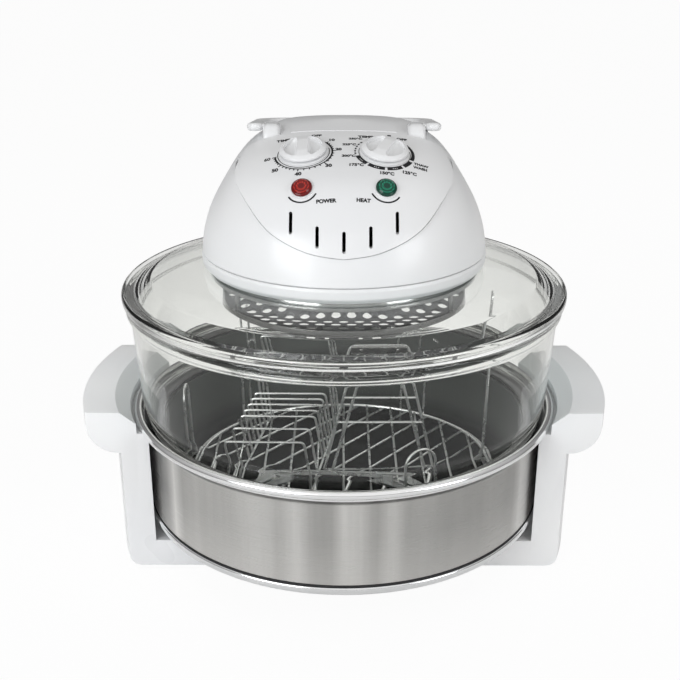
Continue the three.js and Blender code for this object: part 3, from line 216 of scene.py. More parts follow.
world = bpy.data.worlds.new("white_studio")
bpy.context.scene.world = world
studio = Finish("white_studio", owner=world)
direction = studio.node("ShaderNodeTexCoord", None, out="Generated")
upward = direction.axis("Z")
frontward = 0 - direction.axis("Y")
sideward = direction.axis("X")
ahead = studio.node("ShaderNodeVectorMath", {"operation": "DOT_PRODUCT"}, direction, tuple(view_out), out="Value")
seen = studio.ray("Camera")
clear = studio.ray("Transmission")
scattered = studio.ray("Diffuse")
from_above = upward.range(0.25, 0.7, 0.0, 0.9)
from_front = frontward.range(0.3, 0.8, 0.0, 0.75) * upward.range(0.0, 0.25)
from_outside = from_above.math("MAXIMUM", from_above, from_front)
through_glass = from_outside.math("MAXIMUM", from_outside, ahead.range(0.6, 0.88, 0.24, 0.97))
soft_light = upward.range(-0.3, 0.9, 0.62, 0.38) + frontward.range(0.0, 1.0, 0.0, 0.22)
mirrored = upward.range(0.0, 0.35, 0.42, 0.9) * sideward.math("ABSOLUTE", sideward).range(0.4, 0.9, 1.0, 0.45)
mirrored = mirrored * frontward.range(-0.75, -0.1, 0.2, 1.0)
lighting = scattered * soft_light + (1 - scattered) * mirrored
strength = seen + clear * through_glass + (1 - seen - clear) * lighting
room_tone = studio.mix(scattered * upward.range(0.0, 0.9), grey(1), colour(1, 0.975, 0.945))
studio.surface(studio.node("ShaderNodeBackground", None, room_tone, strength))


def hung(name, kind, place, aim, power, in_gloss, **settings):
    """Hangs up a lamp and turns it towards what it lights."""
    lamp = bpy.data.lights.new(name, kind)
    lamp.energy = power
    for key, value in settings.items():
        setattr(lamp, key, value)
    holder = linked(name, lamp)
    turn = (Vector(aim) - Vector(place)).to_track_quat("-Z", "Y")
    holder.matrix_world = Matrix.Translation(place) @ turn.to_matrix().to_4x4()
    holder.visible_glossy = in_gloss


for name, place, size, power, in_gloss in (
    ("front_left_box", (-0.95, -1.25, 0.85), 0.9, 12.0, True),
    ("front_right_box", (1.15, -1.0, 0.75), 0.6, 5.0, True),
    ("rear_box", (0.3, 1.2, 1.2), 1.2, 2.0, False),
):
    hung(name, "AREA", place, (0, 0, 0.2), power, in_gloss, size=size, color=(0.95, 0.975, 1.0))
for name, side, power in (("left_lug_spot", -1, 9.0), ("right_lug_spot", 1, 6.0)):
    hung(
        name, "SPOT", (side * 0.55, -0.1, 0.95), (side * 0.187, -0.01, 0.138), power, False,
        spot_size=math.radians(17), spot_blend=0.5, shadow_soft_size=0.1,
    )

table_finish = Finish("white_table", Base_Color=grey(0.9), Roughness=0.6)
table_glow = table_finish.node("ShaderNodeEmission", None, grey(1), 1.0)
table_gone = table_finish.node("ShaderNodeBsdfTransparent", None, grey(1))
table_lit = table_finish.mixed(table_finish.ray("Camera") * 0.95, table_finish.base, table_glow)
table_finish.surface(table_finish.mixed(table_finish.ray("Transmission"), table_lit, table_gone))
table_form = bmesh.new()
bmesh.ops.create_circle(table_form, cap_ends=True, segments=64, radius=14)
table_mesh = bpy.data.meshes.new("table")
table_form.to_mesh(table_mesh)
table_mesh.materials.append(table_finish.owner)
table = linked("table", table_mesh)


# Two hollow mouldings in gloss white plastic. Each rises beside the pot and ends in a lug
# that is the carrying handle. Their inner faces follow the pot's round wall.
white_plastic = Finish("gloss_white_plastic", "white_plastic", IOR=1.5, Coat_Roughness=0.12)
grain = white_plastic.noise(420.0, detail=4.0)
cloud = white_plastic.noise(9.0, detail=2.0)
white_plastic.feed(
    Base_Color=white_plastic.mix(cloud.range(0.35, 0.7), colour(0.79, 0.795, 0.805), grey(0.83)),
    Roughness=cloud.range(0.3, 0.7, 0.27, 0.38),
    Coat_Weight=cloud.range(0.3, 0.7, 0.12, 0.25),
    Normal=white_plastic.bump(grain, 0.00002, 0.35),
)


def cleaned(form):
    """Merges doubles and turns every face outwards."""
    bmesh.ops.remove_doubles(form, verts=form.verts, dist=1e-6)
    bmesh.ops.dissolve_degenerate(form, edges=form.edges, dist=1e-6)
    bmesh.ops.recalc_face_normals(form, faces=form.faces)
    return form


def placed(form, matrix):
    bmesh.ops.transform(form, matrix=matrix, verts=form.verts)
    return form


def softened(form, width, segments=3, above=40.0):
    """Bevels the edges that turn by more than an angle."""
    limit = math.radians(above)
    edges = [edge for edge in form.edges if len(edge.link_faces) == 2 and edge.calc_face_angle() > limit]
    bmesh.ops.bevel(
        form, geom=edges, offset=width, segments=segments, profile=0.5,
        affect="EDGES", material=-1, clamp_overlap=True,
    )
    return form


def mesh_of(name, form, crease=32.0):
    """A mesh with smooth faces and sharp edges where the form turns by more than the crease."""
    limit = math.radians(crease)
    for face in form.faces:
        face.smooth = True
    for edge in form.edges:
        edge.smooth = edge.calc_face_angle(0) < limit
    mesh = bpy.data.meshes.new(name)
    form.to_mesh(mesh)
    form.free()
    return mesh


def shown(name, form, finish, body, *nodes, slot=None, crease=32.0):
    """Puts a finished form on its body in place of CAD nodes."""
    piece = linked(name, mesh_of(name, form, crease))
    piece.data.materials.append(finish.owner)
    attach(piece, body)
    if nodes:
        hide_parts(*nodes)


def arc(x, y, radius, first, last, steps):
    """Points along an arc, from one angle to another in degrees."""
    angles = [math.radians(first + (last - first) * step / steps) for step in range(steps + 1)]
    return [(x + radius * math.cos(angle), y + radius * math.sin(angle)) for angle in angles]


def turned(outline, steps=128, angle=math.tau, start=0.0):
    """Spins an outline of (radius, height) points round the Z axis."""
    form = bmesh.new()
    points = [form.verts.new((radius, 0, height)) for radius, height in outline]
    edges = [form.edges.new(pair) for pair in zip(points, points[1:] + points[:1])]
    placed(form, Matrix.Rotation(start, 4, "Z"))
    bmesh.ops.spin(
        form, geom=points + edges, cent=(0, 0, 0), axis=(0, 0, 1), angle=angle,
        steps=steps, use_merge=angle == math.tau,
    )
    return cleaned(form)


def sliced(form, place, normal):
    """Cuts away what lies on the normal's side of a plane, and closes the cut."""
    cut = bmesh.ops.bisect_plane(
        form, geom=form.verts[:] + form.edges[:] + form.faces[:], dist=1e-7,
        plane_co=place, plane_no=normal, clear_outer=True,
    )
    rim = [edge for edge in cut["geom_cut"] if isinstance(edge, bmesh.types.BMEdge) and edge.is_boundary]
    if rim:
        bmesh.ops.contextual_create(form, geom=rim)


def formed(item):
    """The finished shape of an object as a form. The object goes."""
    bpy.context.view_layer.update()
    form = bmesh.new()
    form.from_mesh(bpy.data.meshes.new_from_object(item.evaluated_get(bpy.context.evaluated_depsgraph_get())))
    bpy.data.objects.remove(item)
    return form


def carved(form, tool, operation="DIFFERENCE"):
    """Cuts one closed form with another."""
    blank = linked("blank", mesh_of("blank", form))
    cutter = linked("cutter", mesh_of("tool", tool))
    change = blank.modifiers.new("cut", "BOOLEAN")
    change.object = cutter
    change.operation = operation
    change.solver = "EXACT"
    result = formed(blank)
    bpy.data.objects.remove(cutter)
    return cleaned(result)


stand_half_width = 0.069
stand_inner_x = 0.0903
stand_wall = 0.003
stand_heel = 0.045
upright_inner = 0.164
upright_outer = 0.184
lug_outer = 0.2075
lug_top = 0.138
lug_foot = lug_top - 0.034
lug_round = 0.022
toe_round = 0.008
saddle_radius = 0.172
saddle_top = 0.1203
saddle_slope = 0.011
saddle_drop = 0.0095
plate_top = 0.026
stand_bottom = 0.003
stand_sweep = math.radians(120)
half_turn = Matrix.Rotation(math.pi, 4, "Z")


def stand_form(wall):
    """The stand's section swept about the pot, or the hollow in it where the wall isn't zero."""
    low = stand_bottom - (0.006 if wall else 0)
    toe_x = upright_outer - toe_round
    outline = [
        (stand_heel, low),
        *([(toe_x, low)] if wall else []),
        *arc(toe_x, stand_bottom + toe_round, toe_round - wall, -90, 0, 5),
        (upright_outer - wall, lug_foot + wall),
        *arc(lug_outer - lug_round, lug_foot + lug_round, lug_round - wall, -90, 0, 10),
        (lug_outer - wall, lug_top - wall),
        (saddle_radius + saddle_slope + wall / 2, lug_top - wall),
        (saddle_radius + wall, lug_top - saddle_drop - wall / 2),
        (saddle_radius + wall, saddle_top - wall),
        (upright_inner + wall, saddle_top - wall),
        (upright_inner + wall, plate_top - wall),
        (stand_heel, plate_top - wall),
    ]
    form = turned(outline, steps=96, angle=stand_sweep, start=-stand_sweep / 2)
    bmesh.ops.holes_fill(form, edges=form.edges)
    cleaned(form)
    sliced(form, (0, stand_half_width - wall, 0), (0, 1, 0))
    sliced(form, (0, wall - stand_half_width, 0), (0, -1, 0))
    sliced(form, (stand_inner_x + wall, 0, 0), (-1, 0, 0))
    return cleaned(form)


for name in ("right", "left"):
    stand = carved(softened(stand_form(0), 0.0014), stand_form(stand_wall))
    if name == "left":
        placed(stand, half_turn)
    shown(f"stand_moulding_{name}", stand, white_plastic, "cradle", f"cradle_stand_{name}", crease=28)


# A shallow white tray joins the stands under the pot. Its tongues lie inside the stands, and
# four screws hold them from below. Each stand has two black rubber feet.
def boxed(low, high, width=0.0, segments=3):
    """A box between two corners, with softened edges."""
    form = bmesh.new()
    bmesh.ops.create_cube(form, size=1)
    bmesh.ops.scale(form, verts=form.verts, vec=Vector(high) - Vector(low))
    bmesh.ops.translate(form, verts=form.verts, vec=(Vector(high) + Vector(low)) / 2)
    return softened(form, width, segments) if width else form


low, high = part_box("cradle_tray")
tray_half = 0.09
tongue_play = 0.0003
tongue_thick = 0.004
tray = boxed((-tray_half, low.y, low.z), (tray_half, high.y, high.z), 0.0012)
tray = carved(tray, boxed(
    (stand_wall - tray_half, low.y + stand_wall, 0),
    (tray_half - stand_wall, high.y - stand_wall, high.z - stand_wall), 0.001,
))
for side in (1, -1):
    tongue = boxed(
        (tray_half - 0.001, low.y + stand_wall + tongue_play, low.z),
        (high.x, high.y - stand_wall - tongue_play, low.z + tongue_thick), 0.0005,
    )
    tray = carved(tray, placed(tongue, half_turn) if side < 0 else tongue, "UNION")
shown("cradle_tray_moulding", tray, white_plastic, "cradle", "cradle_tray")

bright_steel = Finish("bright_steel", Metallic=1.0, IOR=2.5)
bright_steel.varied(bright_steel.noise(60.0), colour(0.74, 0.745, 0.75), grey(0.86), 0.1, 0.2)

black_rubber = Finish("black_rubber", IOR=1.5, Specular_IOR_Level=0.35)
rubber_grain = black_rubber.noise(900.0, detail=2.0)
black_rubber.varied(
    rubber_grain, colour(0.012, 0.012, 0.013), colour(0.03, 0.03, 0.032), 0.6, 0.85,
    Normal=black_rubber.bump(rubber_grain, 0.00005, 0.4),
)


def eased_corner(before, corner, after, reach, steps):
    """Points along a soft curve that cuts a corner."""
    first = corner + (before - corner).normalized() * reach
    last = corner + (after - corner).normalized() * reach
    shares = [step / steps for step in range(steps + 1)]
    return [first.lerp(corner, share).lerp(corner.lerp(last, share), share) for share in shares]


def rounded(corners, steps=4):
    """An outline with its corners rounded: each corner is (x, z, radius)."""
    outline = []
    for i, (x, z, radius) in enumerate(corners):
        if not radius:
            outline.append((x, z))
            continue
        corner = Vector((x, z))
        before = Vector(corners[i - 1][:2])
        after = Vector(corners[(i + 1) % len(corners)][:2])
        half_angle = (before - corner).angle(after - corner) / 2
        reach = min(radius / math.tan(half_angle), (before - corner).length / 2, (after - corner).length / 2)
        outline += [tuple(point) for point in eased_corner(before, corner, after, reach, steps)]
    return outline


def refinished(node, finish):
    """Gives a carried-over CAD node its finish."""
    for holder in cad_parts[node].material_slots:
        holder.material = finish.owner


for corner in ("front_right", "front_left", "rear_right", "rear_left"):
    refinished(f"cradle_screw_{corner}", bright_steel)
    low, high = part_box(f"rubber_foot_{corner}")
    radius = (high.x - low.x) / 2
    foot = turned(rounded([
        (0, low.z, 0), (radius - 0.001, low.z, 0.0008), (radius, high.z, 0.0006), (0, high.z, 0),
    ], 3), 48)
    placed(foot, Matrix.Translation(((low.x + high.x) / 2, (low.y + high.y) / 2, 0)))
    shown(f"foot_{corner}", foot, black_rubber, "cradle", f"rubber_foot_{corner}")

# A spun pot of stainless steel, brushed round its wall, with a rolled rim and a ledge for the
# glass bowl. A bright ring closes its foot on a thin black gasket.
brushed_steel = Finish("brushed_steel", Metallic=1.0, IOR=2.5, Anisotropic=0.75)
brushing = brushed_steel.noise(30.0, detail=6.0, roughness=0.7, stretch=(1, 1, 90))
steel_place = brushed_steel.place()
angle = steel_place.math("ARCTAN2", steel_place.axis("X"), 0 - steel_place.axis("Y"))
# Painted reflections: light and dark upright bands in the steel's colour, set by the angle round the pot, stand in
# for the studio mirrored in the brushed wall.
reflection_band_stops = [
    (-180, 0.62), (-75, 0.5), (-64, 0.28), (-60, 0.1), (-56, 0.34), (-52, 0.92), (-48, 0.5), (-40, 0.55), (-32, 0.6),
    (-22, 0.64), (-16, 0.6), (-12, 0.85), (-8, 0.46), (-3, 0.46), (0, 0.82), (4, 0.8), (8, 0.4), (12, 0.72),
    (16, 0.46), (24, 0.44), (40, 0.36), (52, 0.3), (56, 0.66), (60, 0.7), (64, 0.16), (75, 0.5), (180, 0.62),
]
reflection_ramp_stops = [((at + 180) / 360, colour(tone, tone * 0.985, tone * 0.955)) for at, tone in reflection_band_stops]
bands = brushed_steel.node("ShaderNodeValToRGB", {"stops": reflection_ramp_stops}, 0.5 + angle / math.tau, out="Color")
smudge = brushed_steel.noise(12.0, detail=4.0, stretch=(1, 1, 0.4))
# Painted reflections: upright streaks of noise that darken the wall's colour and break up the bands.
streaks = brushed_steel.noise(55.0, detail=5.0, roughness=0.6, stretch=(1, 1, 0.06))
steel_height = steel_place.axis("Z")
polished = steel_height.range(0.1168, 0.1174)
# Painted shade: a dark band on the wall just under the rolled rim.
painted_shade_under_rim = steel_height.range(0.1125, 0.1145) - polished
wall_tone = brushed_steel.mix(smudge.range(0.4, 0.75, 0.0, 0.45), bands, colour(0.58, 0.57, 0.55))
wall_tone = brushed_steel.mix(streaks.range(0.35, 0.65, 0.3, 0.0), wall_tone, colour(0.3, 0.295, 0.285))
# Painted reflection: the lower wall turns lighter and warmer, as if it mirrored the white stands and table.
wall_tone = brushed_steel.mix(steel_height.range(0.05, 0.085, 0.3, 0.0), wall_tone, colour(0.82, 0.8, 0.77))
wall_tone = brushed_steel.mix(painted_shade_under_rim * 0.75, wall_tone, grey(0.08))
# The ledge inside the rolled rim is coloured near black, and the bead above it pale.
inside_rim = brushed_steel.stretched((1, 1, 0)).length().range(0.1612, 0.1622, 1.0, 0.0)
rim_tone = brushed_steel.mix(inside_rim, grey(0.9), colour(0.1, 0.1, 0.098))
brushed_steel.feed(
    Base_Color=brushed_steel.mix(polished, wall_tone, rim_tone),
    Roughness=brushing.range(0.3, 0.7, 0.24, 0.36) - polished * 0.18,
    Normal=brushed_steel.bump(brushing, 0.00003, 0.35),
)

pot_radius = 0.16
pot_sheet = 0.001
pot_foot = 0.0478
neck_radius = 0.1633
rim_x = 0.1662
rim_z = 0.1238
rim_bead = 0.0032
ledge_z = 0.1185
ledge_lip = 0.004
ledge_inner = 0.146
pot_outline = [
    (pot_radius, pot_foot),
    *rounded([
        (pot_radius, 0.08, 0), (pot_radius, 0.113, 0.006), (neck_radius, 0.1168, 0.003), (neck_radius, 0.1206, 0),
    ], 5),
    *arc(rim_x, rim_z, rim_bead, -90, 180, 18),
    (0.1625, ledge_z + pot_sheet),
    (0.1617, ledge_z),
    (ledge_inner + pot_sheet, ledge_z),
    (ledge_inner, ledge_z - pot_sheet),
    (ledge_inner, ledge_z - ledge_lip),
    (ledge_inner + pot_sheet, ledge_z - ledge_lip),
    (ledge_inner + pot_sheet, ledge_z - pot_sheet),
    (pot_radius - pot_sheet, ledge_z - pot_sheet),
    (pot_radius - pot_sheet, pot_foot),
]
shown("pot_steel_shell", turned(pot_outline, 160), brushed_steel, "pot", "pot_shell")


def spun(name, corners, finish, body, node, segments=160, steps=5):
    """A piece turned from an outline with rounded corners, in place of a CAD node."""
    shown(name, turned(rounded(corners, steps), segments), finish, body, node)


low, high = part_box("pot_gasket")
spun("pot_gasket_ring", [
    (high.x - 0.003, low.z, 0), (high.x + 0.0007, low.z, 0.0004),
    (high.x + 0.0007, high.z, 0.0004), (high.x - 0.003, high.z, 0),
], black_rubber, "pot", "pot_gasket", steps=3)

low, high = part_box("pot_base_ring")
spun("pot_base_bright_ring", [
    (high.x - 0.011, low.z, 0.0005), (high.x, low.z, 0.0022), (high.x, high.z, 0.0022), (0.157, high.z, 0.0005),
    (0.157, low.z + 0.003, 0), (high.x - 0.011, low.z + 0.003, 0.0005),
], bright_steel, "pot", "pot_base_ring")

dull_steel = Finish("dull_steel_sheet", Metallic=1.0, IOR=2.5)
dull_steel.varied(dull_steel.noise(25.0, detail=4.0), colour(0.3, 0.31, 0.32), colour(0.46, 0.46, 0.47), 0.38, 0.55)
refinished("pot_base_plate", dull_steel)

# A pressed pan with a dark non-stick coat lies in the pot, its flange under the ledge. It
# catches the fat, and the wire rack stands on its floor.
dark_coat = Finish("dark_pan_coat", "black_enamel", IOR=1.5, Specular_IOR_Level=0.1)
coat_fleck = dark_coat.noise(700.0, detail=2.0)
coat_cloud = dark_coat.noise(14.0)
# Painted light: the coat is lighter up the walls than on the floor, by height, and mottled by a cloud of noise.
painted_wall_light_and_mottle = dark_coat.place().axis("Z").range(0.047, 0.075) * coat_cloud.range(0.2, 0.8, 0.7, 1.0)
dark_coat.feed(
    Base_Color=dark_coat.mix(painted_wall_light_and_mottle, colour(0.008, 0.0085, 0.008), colour(0.11, 0.118, 0.108)),
    Roughness=coat_fleck.range(0.3, 0.7, 0.45, 0.6),
    Normal=dark_coat.bump(coat_fleck, 0.00004, 0.3),
)
spun("dark_coated_pan", [
    (0, 0.0446, 0), (0.137, 0.0446, 0.009), (0.146, 0.0560, 0.009), (0.146, 0.113, 0.0008),
    (0.155, 0.113, 0), (0.155, 0.1142, 0), (0.1448, 0.1142, 0.001), (0.1448, 0.0564, 0.009),
    (0.1365, 0.0458, 0.009), (0, 0.0458, 0),
], dark_coat, "pot", "inner_pan", steps=6)


# A round rack of plated wire: two rings, each with its own parallel wires, three hoops to
# lift it by, and two tall hoops that keep food off the glass.
def wire(points, radius, closed=False):
    """A round wire through points, as a form."""
    line = bpy.data.curves.new("wire", "CURVE")
    line.dimensions = "3D"
    line.bevel_depth = radius
    line.bevel_resolution = 2
    line.use_fill_caps = not closed
    spline = line.splines.new("POLY")
    spline.points.add(len(points) - 1)
    for point, place in zip(spline.points, points):
        point.co = (*place, 1)
    spline.use_cyclic_u = closed
    return cleaned(formed(linked("wire", line)))


def gathered(forms):
    """Several forms as one."""
    whole = bmesh.new()
    for form in forms:
        part = bpy.data.meshes.new("part")
        form.to_mesh(part)
        form.free()
        whole.from_mesh(part)
    return whole


def bent(corners, radius, steps=5):
    """Points along a wire that turns round its corners."""
    places = [Vector(corner) for corner in corners]
    points = [places[0]]
    for before, corner, after in zip(places, places[1:], places[2:]):
        reach = min(radius, (before - corner).length / 2, (after - corner).length / 2)
        points += eased_corner(before, corner, after, reach, steps)
    return points + [places[-1]]


def turn_z(points, degrees):
    spin = Matrix.Rotation(math.radians(degrees), 3, "Z")
    return [spin @ Vector(point) for point in points]


plated_wire = Finish("plated_wire", "bright_steel", Metallic=0.9, IOR=2.5)
plated_wire.varied(plated_wire.noise(90.0), colour(0.8, 0.8, 0.79), colour(0.93, 0.93, 0.92), 0.22, 0.36)
rack_wire = 0.001
ring_wire = 0.0013
grid_pitch = 0.022
for name, radius, degrees in (("upper", 0.1225, 0), ("lower", 0.127, -38)):
    height = sum(corner.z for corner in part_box(f"rack_{name}_grid")) / 2
    ring = [(x, y, height) for x, y in arc(0, 0, radius, 0, 360, 96)[:-1]]
    forms = [wire(ring, ring_wire, closed=True)]
    reach = int(radius / grid_pitch)
    for i in range(-reach, reach + 1):
        offset = i * grid_pitch
        half = math.sqrt(radius ** 2 - offset ** 2)
        forms.append(wire(turn_z([(offset, -half, height), (offset, half, height)], degrees), rack_wire))
    shown(f"rack_{name}_wires", gathered(forms), plated_wire, "rack", f"rack_{name}_grid")

loop_half = 0.012
loop_foot = 0.0461
loop_radius = 0.12904
for name, degrees in (("front", -65), ("rear", 60), ("left", 180)):
    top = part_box(f"rack_lift_loop_{name}")[1].z - rack_wire
    arch = [(loop_radius, y, z) for y, z in arc(0, top - loop_half, loop_half, 0, 180, 14)]
    path = [(loop_radius, loop_half, loop_foot), *arch, (loop_radius, -loop_half, loop_foot)]
    loop = wire(turn_z(path, degrees), rack_wire)
    shown(f"lift_hoop_{name}", loop, plated_wire, "rack", f"rack_lift_loop_{name}")

post_half = 0.0045
post_low_x = 0.1155
post_foot = 0.0644
post_ring_x = 0.1238
for name, degrees in (("right", -7), ("left", 139)):
    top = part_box(f"rack_tall_post_{name}")[1].z - rack_wire
    arch = [(post_low_x, y, z) for y, z in arc(0, top - post_half, post_half, 18, 162, 8)]
    up = bent([
        (post_ring_x, post_half, post_foot), (post_low_x, post_half, post_foot),
        (post_low_x, post_half, top - post_half),
    ], 0.004)
    down = [(x, -y, z) for x, y, z in reversed(up)]
    post = wire(turn_z([*up, *arch, *down], degrees), rack_wire)
    shown(f"tall_hoop_{name}", post, plated_wire, "rack", f"rack_tall_post_{name}")

# Bent wires stand on two rails to hold slices upright, with the last three taller. Two loose
# rods lie side by side over its rails.
toast_front = -0.051
toast_pitch = 0.0125
toast_places = (0, 2, 4, 5, 6, 7, 8, 9, 10, 11)
toast_left = -0.093
toast_width = 0.062
toast_lean = 0.006
toast_low = 0.042
toast_high = 0.065
rail_z = 0.0641


def toast_skew(y):
    return (y - toast_front) * 0.15


toast_last = toast_front + toast_pitch * toast_places[-1]
toast_forms = []
for x in (toast_left + toast_lean, toast_left + toast_width + toast_lean):
    rail_front = (x, toast_front - toast_pitch / 2, rail_z)
    rail_rear = (x + toast_skew(toast_last), toast_last + toast_pitch / 2, rail_z)
    toast_forms.append(wire([rail_front, rail_rear], rack_wire))
for place in toast_places:
    y = toast_front + toast_pitch * place
    left = toast_left + toast_skew(y)
    right = left + toast_width
    top = rail_z + (toast_high if place >= 9 else toast_low)
    corners = [(left + toast_lean, y, rail_z), (left, y, top), (right, y, top), (right + toast_lean, y, rail_z)]
    toast_forms.append(wire(bent(corners, 0.004), rack_wire))
shown("toast_rack_wires", gathered(toast_forms), plated_wire, "toast", "toast_rack")

rod_wire = 0.0012
rod_half = 0.092
rod_high = 0.0666
rod_low = 0.0643
for name, rod_y in (("front", -0.04), ("rear", -0.035)):
    rod = wire(bent([
        (-rod_half, rod_y, rod_high), (-rod_half / 2, rod_y + 0.0025, rod_high), (-0.019, rod_y + 0.005, rod_high),
        (rod_half / 2, rod_y + 0.0025, rod_low), (rod_half, rod_y, rod_low),
    ], 0.03, 8), rod_wire)
    shown(f"loose_rod_{name}", rod, plated_wire, "toast", f"toast_rod_{name}")

# A frame of doubled wire with two bars, spread at its foot to pass under a rack. A folded
# sheet of steel closed over its top is the grip, held by two rivets.
tongs_x = 0.029
tongs_y = -0.02
tongs_foot = 0.0643
tongs_height = 0.095
tongs_wire = 0.0012
foot_half = 0.045
top_half = 0.023


def tongs_bow(inset, drop):
    """A wire up one side of the frame, over its top and down the other."""
    top = tongs_foot + tongs_height - drop
    return wire(bent([
        (tongs_x - foot_half + inset, tongs_y, tongs_foot), (tongs_x - top_half + inset, tongs_y, top),
        (tongs_x + top_half - inset, tongs_y, top), (tongs_x + foot_half - inset, tongs_y, tongs_foot),
    ], 0.006), tongs_wire)


tongs_forms = [tongs_bow(0, 0), tongs_bow(0.007, 0.007)]
for share in (0, 0.48, 0.72):
    half = foot_half + (top_half - foot_half) * share
    height = tongs_foot + tongs_height * share
    tongs_forms.append(wire([(tongs_x - half, tongs_y, height), (tongs_x + half, tongs_y, height)], tongs_wire))
shown("tongs_wires", gathered(tongs_forms), plated_wire, "tongs", "tongs_frame")

rivet_reach = 0.015
low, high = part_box("tongs_plate")
grip_forms = [boxed(low, high, 0.0004)]
for x in (tongs_x - rivet_reach, tongs_x + rivet_reach):
    rivet = turned([(0, 0), (0.0016, 0), (0.0013, 0.0005), (0.0006, 0.0008), (0, 0.0009)], 24)
    rivet_place = Matrix.Translation((x, low.y + 0.0001, (low.z + high.z) / 2))
    grip_forms.append(placed(rivet, rivet_place @ Matrix.Rotation(math.pi / 2, 4, "X")))
shown("tongs_grip_plate", gathered(grip_forms), bright_steel, "tongs", "tongs_plate", slot="brushed_steel")

# An open ring of clear pressed glass that stands on the pot's ledge. Its wall leans outwards
# to a thick rounded rim.
clear_glass = Finish(
    "clear_glass", Base_Color=colour(0.935, 0.94, 0.92), IOR=1.42, Transmission_Weight=1.0,
    Specular_IOR_Level=0.22,
)
glass_wave = clear_glass.noise(22.0, detail=1.0)
clear_glass.feed(Roughness=glass_wave.range(0.3, 0.7, 0.0, 0.012), Normal=clear_glass.bump(glass_wave, 0.0003, 0.03))
glass_shadow = clear_glass.node("ShaderNodeBsdfTransparent", None, colour(0.93, 0.95, 0.945))
shadow_ray = clear_glass.ray("Shadow")
unbent = shadow_ray.math("MAXIMUM", shadow_ray, clear_glass.ray("Diffuse"))
clear_glass.surface(clear_glass.mixed(unbent, clear_glass.base, glass_shadow))

low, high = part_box("glass_bowl")
rim_width = 0.009
rim_inner = high.x - rim_width
spun("clear_glass_bowl", [
    (0.1585, low.z, 0.001), (0.16199, 0.1361, 0.06), (0.16625, 0.2052, 0.006),
    (high.x, 0.2078, 0.003), (high.x, high.z, 0.0035), (rim_inner, high.z, 0.0035),
    (rim_inner, 0.2078, 0.002), (0.16125, 0.2045, 0.006), (0.15699, 0.1361, 0.06),
    (0.1535, low.z, 0.001),
], clear_glass, "bowl", "glass_bowl", 192, 6)


# A shallow dome of the same glass with a thick rounded edge. A round hole in its middle
# carries the heater head.
def eased(rows, steps=5):
    """Rows of numbers with smooth rows put in between them."""
    finer = []
    for i in range(len(rows) - 1):
        p0, p1, p2, p3 = (Vector(rows[max(0, min(len(rows) - 1, i + k))]) for k in (-1, 0, 1, 2))
        for step in range(steps):
            t = step / steps
            finer.append(0.5 * (2 * p1 + (p2 - p0) * t + (2 * p0 - 5 * p1 + 4 * p2 - p3) * t ** 2
                                + (3 * p1 - p0 - 3 * p2 + p3) * t ** 3))
    return finer + [Vector(rows[-1])]


low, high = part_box("glass_lid")
edge_top = low.z + 0.0082
lid_wall = 0.0026
lid_dome = eased([(0.1492, 0.2306), (0.13, 0.2357), (0.1121, 0.2373), (0.098, high.z)], 8)
spun("clear_glass_lid", [
    (high.x - 0.01, low.z, 0.002), (high.x, low.z, 0.0035),
    (high.x, edge_top, 0.0035), (high.x - 0.01, edge_top, 0.003),
    *[(x, z, 0) for x, z in lid_dome], *[(x, z - lid_wall, 0) for x, z in reversed(lid_dome)],
], clear_glass, "lid", "glass_lid", 192, 6)

# A bright ring clamps the glass from below, and a white moulded skirt sits on it from above.
# A steel tray inside carries the reflector, the tube and the motor.
low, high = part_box("lid_clamp_ring")
spun("bright_clamp_ring", [
    (0.0927, low.z, 0.0008), (0.1037, low.z, 0.0008), (0.1037, low.z + 0.003, 0.0005),
    (0.0977, low.z + 0.003, 0), (0.0977, high.z, 0), (0.0927, high.z, 0),
], bright_steel, "lid", "lid_clamp_ring", 128, 3)

low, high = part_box("head_skirt")
spun("white_skirt_moulding", [
    (high.x - 0.009, low.z, 0), (high.x - 0.004, low.z, 0.003),
    (high.x - 0.0005, low.z + 0.004, 0.003), (high.x, high.z - 0.002, 0.0015),
    (high.x - 0.001, high.z, 0.0006), (high.x - 0.003, high.z, 0),
    (high.x - 0.003, low.z + 0.003, 0.001), (high.x - 0.009, low.z + 0.003, 0),
], white_plastic, "lid", "head_skirt", steps=4)
refinished("head_tray", dull_steel)

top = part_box("heat_reflector")[1].z
reflector_outline = [
    (0.0036, top - 0.0008), (0.0036, top), (0.0817, top),
    (0.0907, top - 0.012), (0.0899, top - 0.012), (0.0809, top - 0.0008),
]
shown("heat_reflector_dish", turned(reflector_outline, 96), bright_steel, "lid", "heat_reflector")

# A bright band under the head with a plate of round punched holes on its lip. Three flat
# straps run up from the band to the clamp ring.
# The band and straps are given a darker grey steel than the bright parts.
guard_steel = Finish("grey_guard_steel", "bright_steel", Metallic=1.0, IOR=2.5)
guard_steel.varied(guard_steel.noise(45.0), grey(0.3), colour(0.5, 0.5, 0.49), 0.16, 0.28)
plate_steel = Finish("dark_punched_steel", "bright_steel", Metallic=0.8, IOR=2.0)
plate_steel.varied(plate_steel.noise(45.0), colour(0.03, 0.031, 0.032), grey(0.07), 0.3, 0.45)
guard_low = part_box("guard_frame")[0].z
guard_radius = 0.095
lip_radius = 0.092
band_top = guard_low + 0.0048
strap_half = 0.0035
strap_top = 0.241
guard_forms = [turned(rounded([
    (lip_radius, guard_low, 0), (guard_radius, guard_low, 0.0009), (guard_radius, band_top, 0.0004),
    (guard_radius - 0.001, band_top, 0.0004), (guard_radius - 0.001, guard_low + 0.001, 0),
    (lip_radius, guard_low + 0.001, 0),
], 3), 128)]
for i in range(3):
    spin = Matrix.Rotation(math.tau * i / 3 - math.pi / 2 - math.pi / 3, 4, "Z")
    for inner, outer, up in ((0.091, lip_radius, strap_top), (0.0912, guard_radius - 0.0004, band_top)):
        strap = boxed((inner, -strap_half, band_top - 0.001), (outer, strap_half, up), 0.0003, 2)
        guard_forms.append(placed(strap, spin))
shown("guard_band", gathered(guard_forms), guard_steel, "lid", "guard_frame")

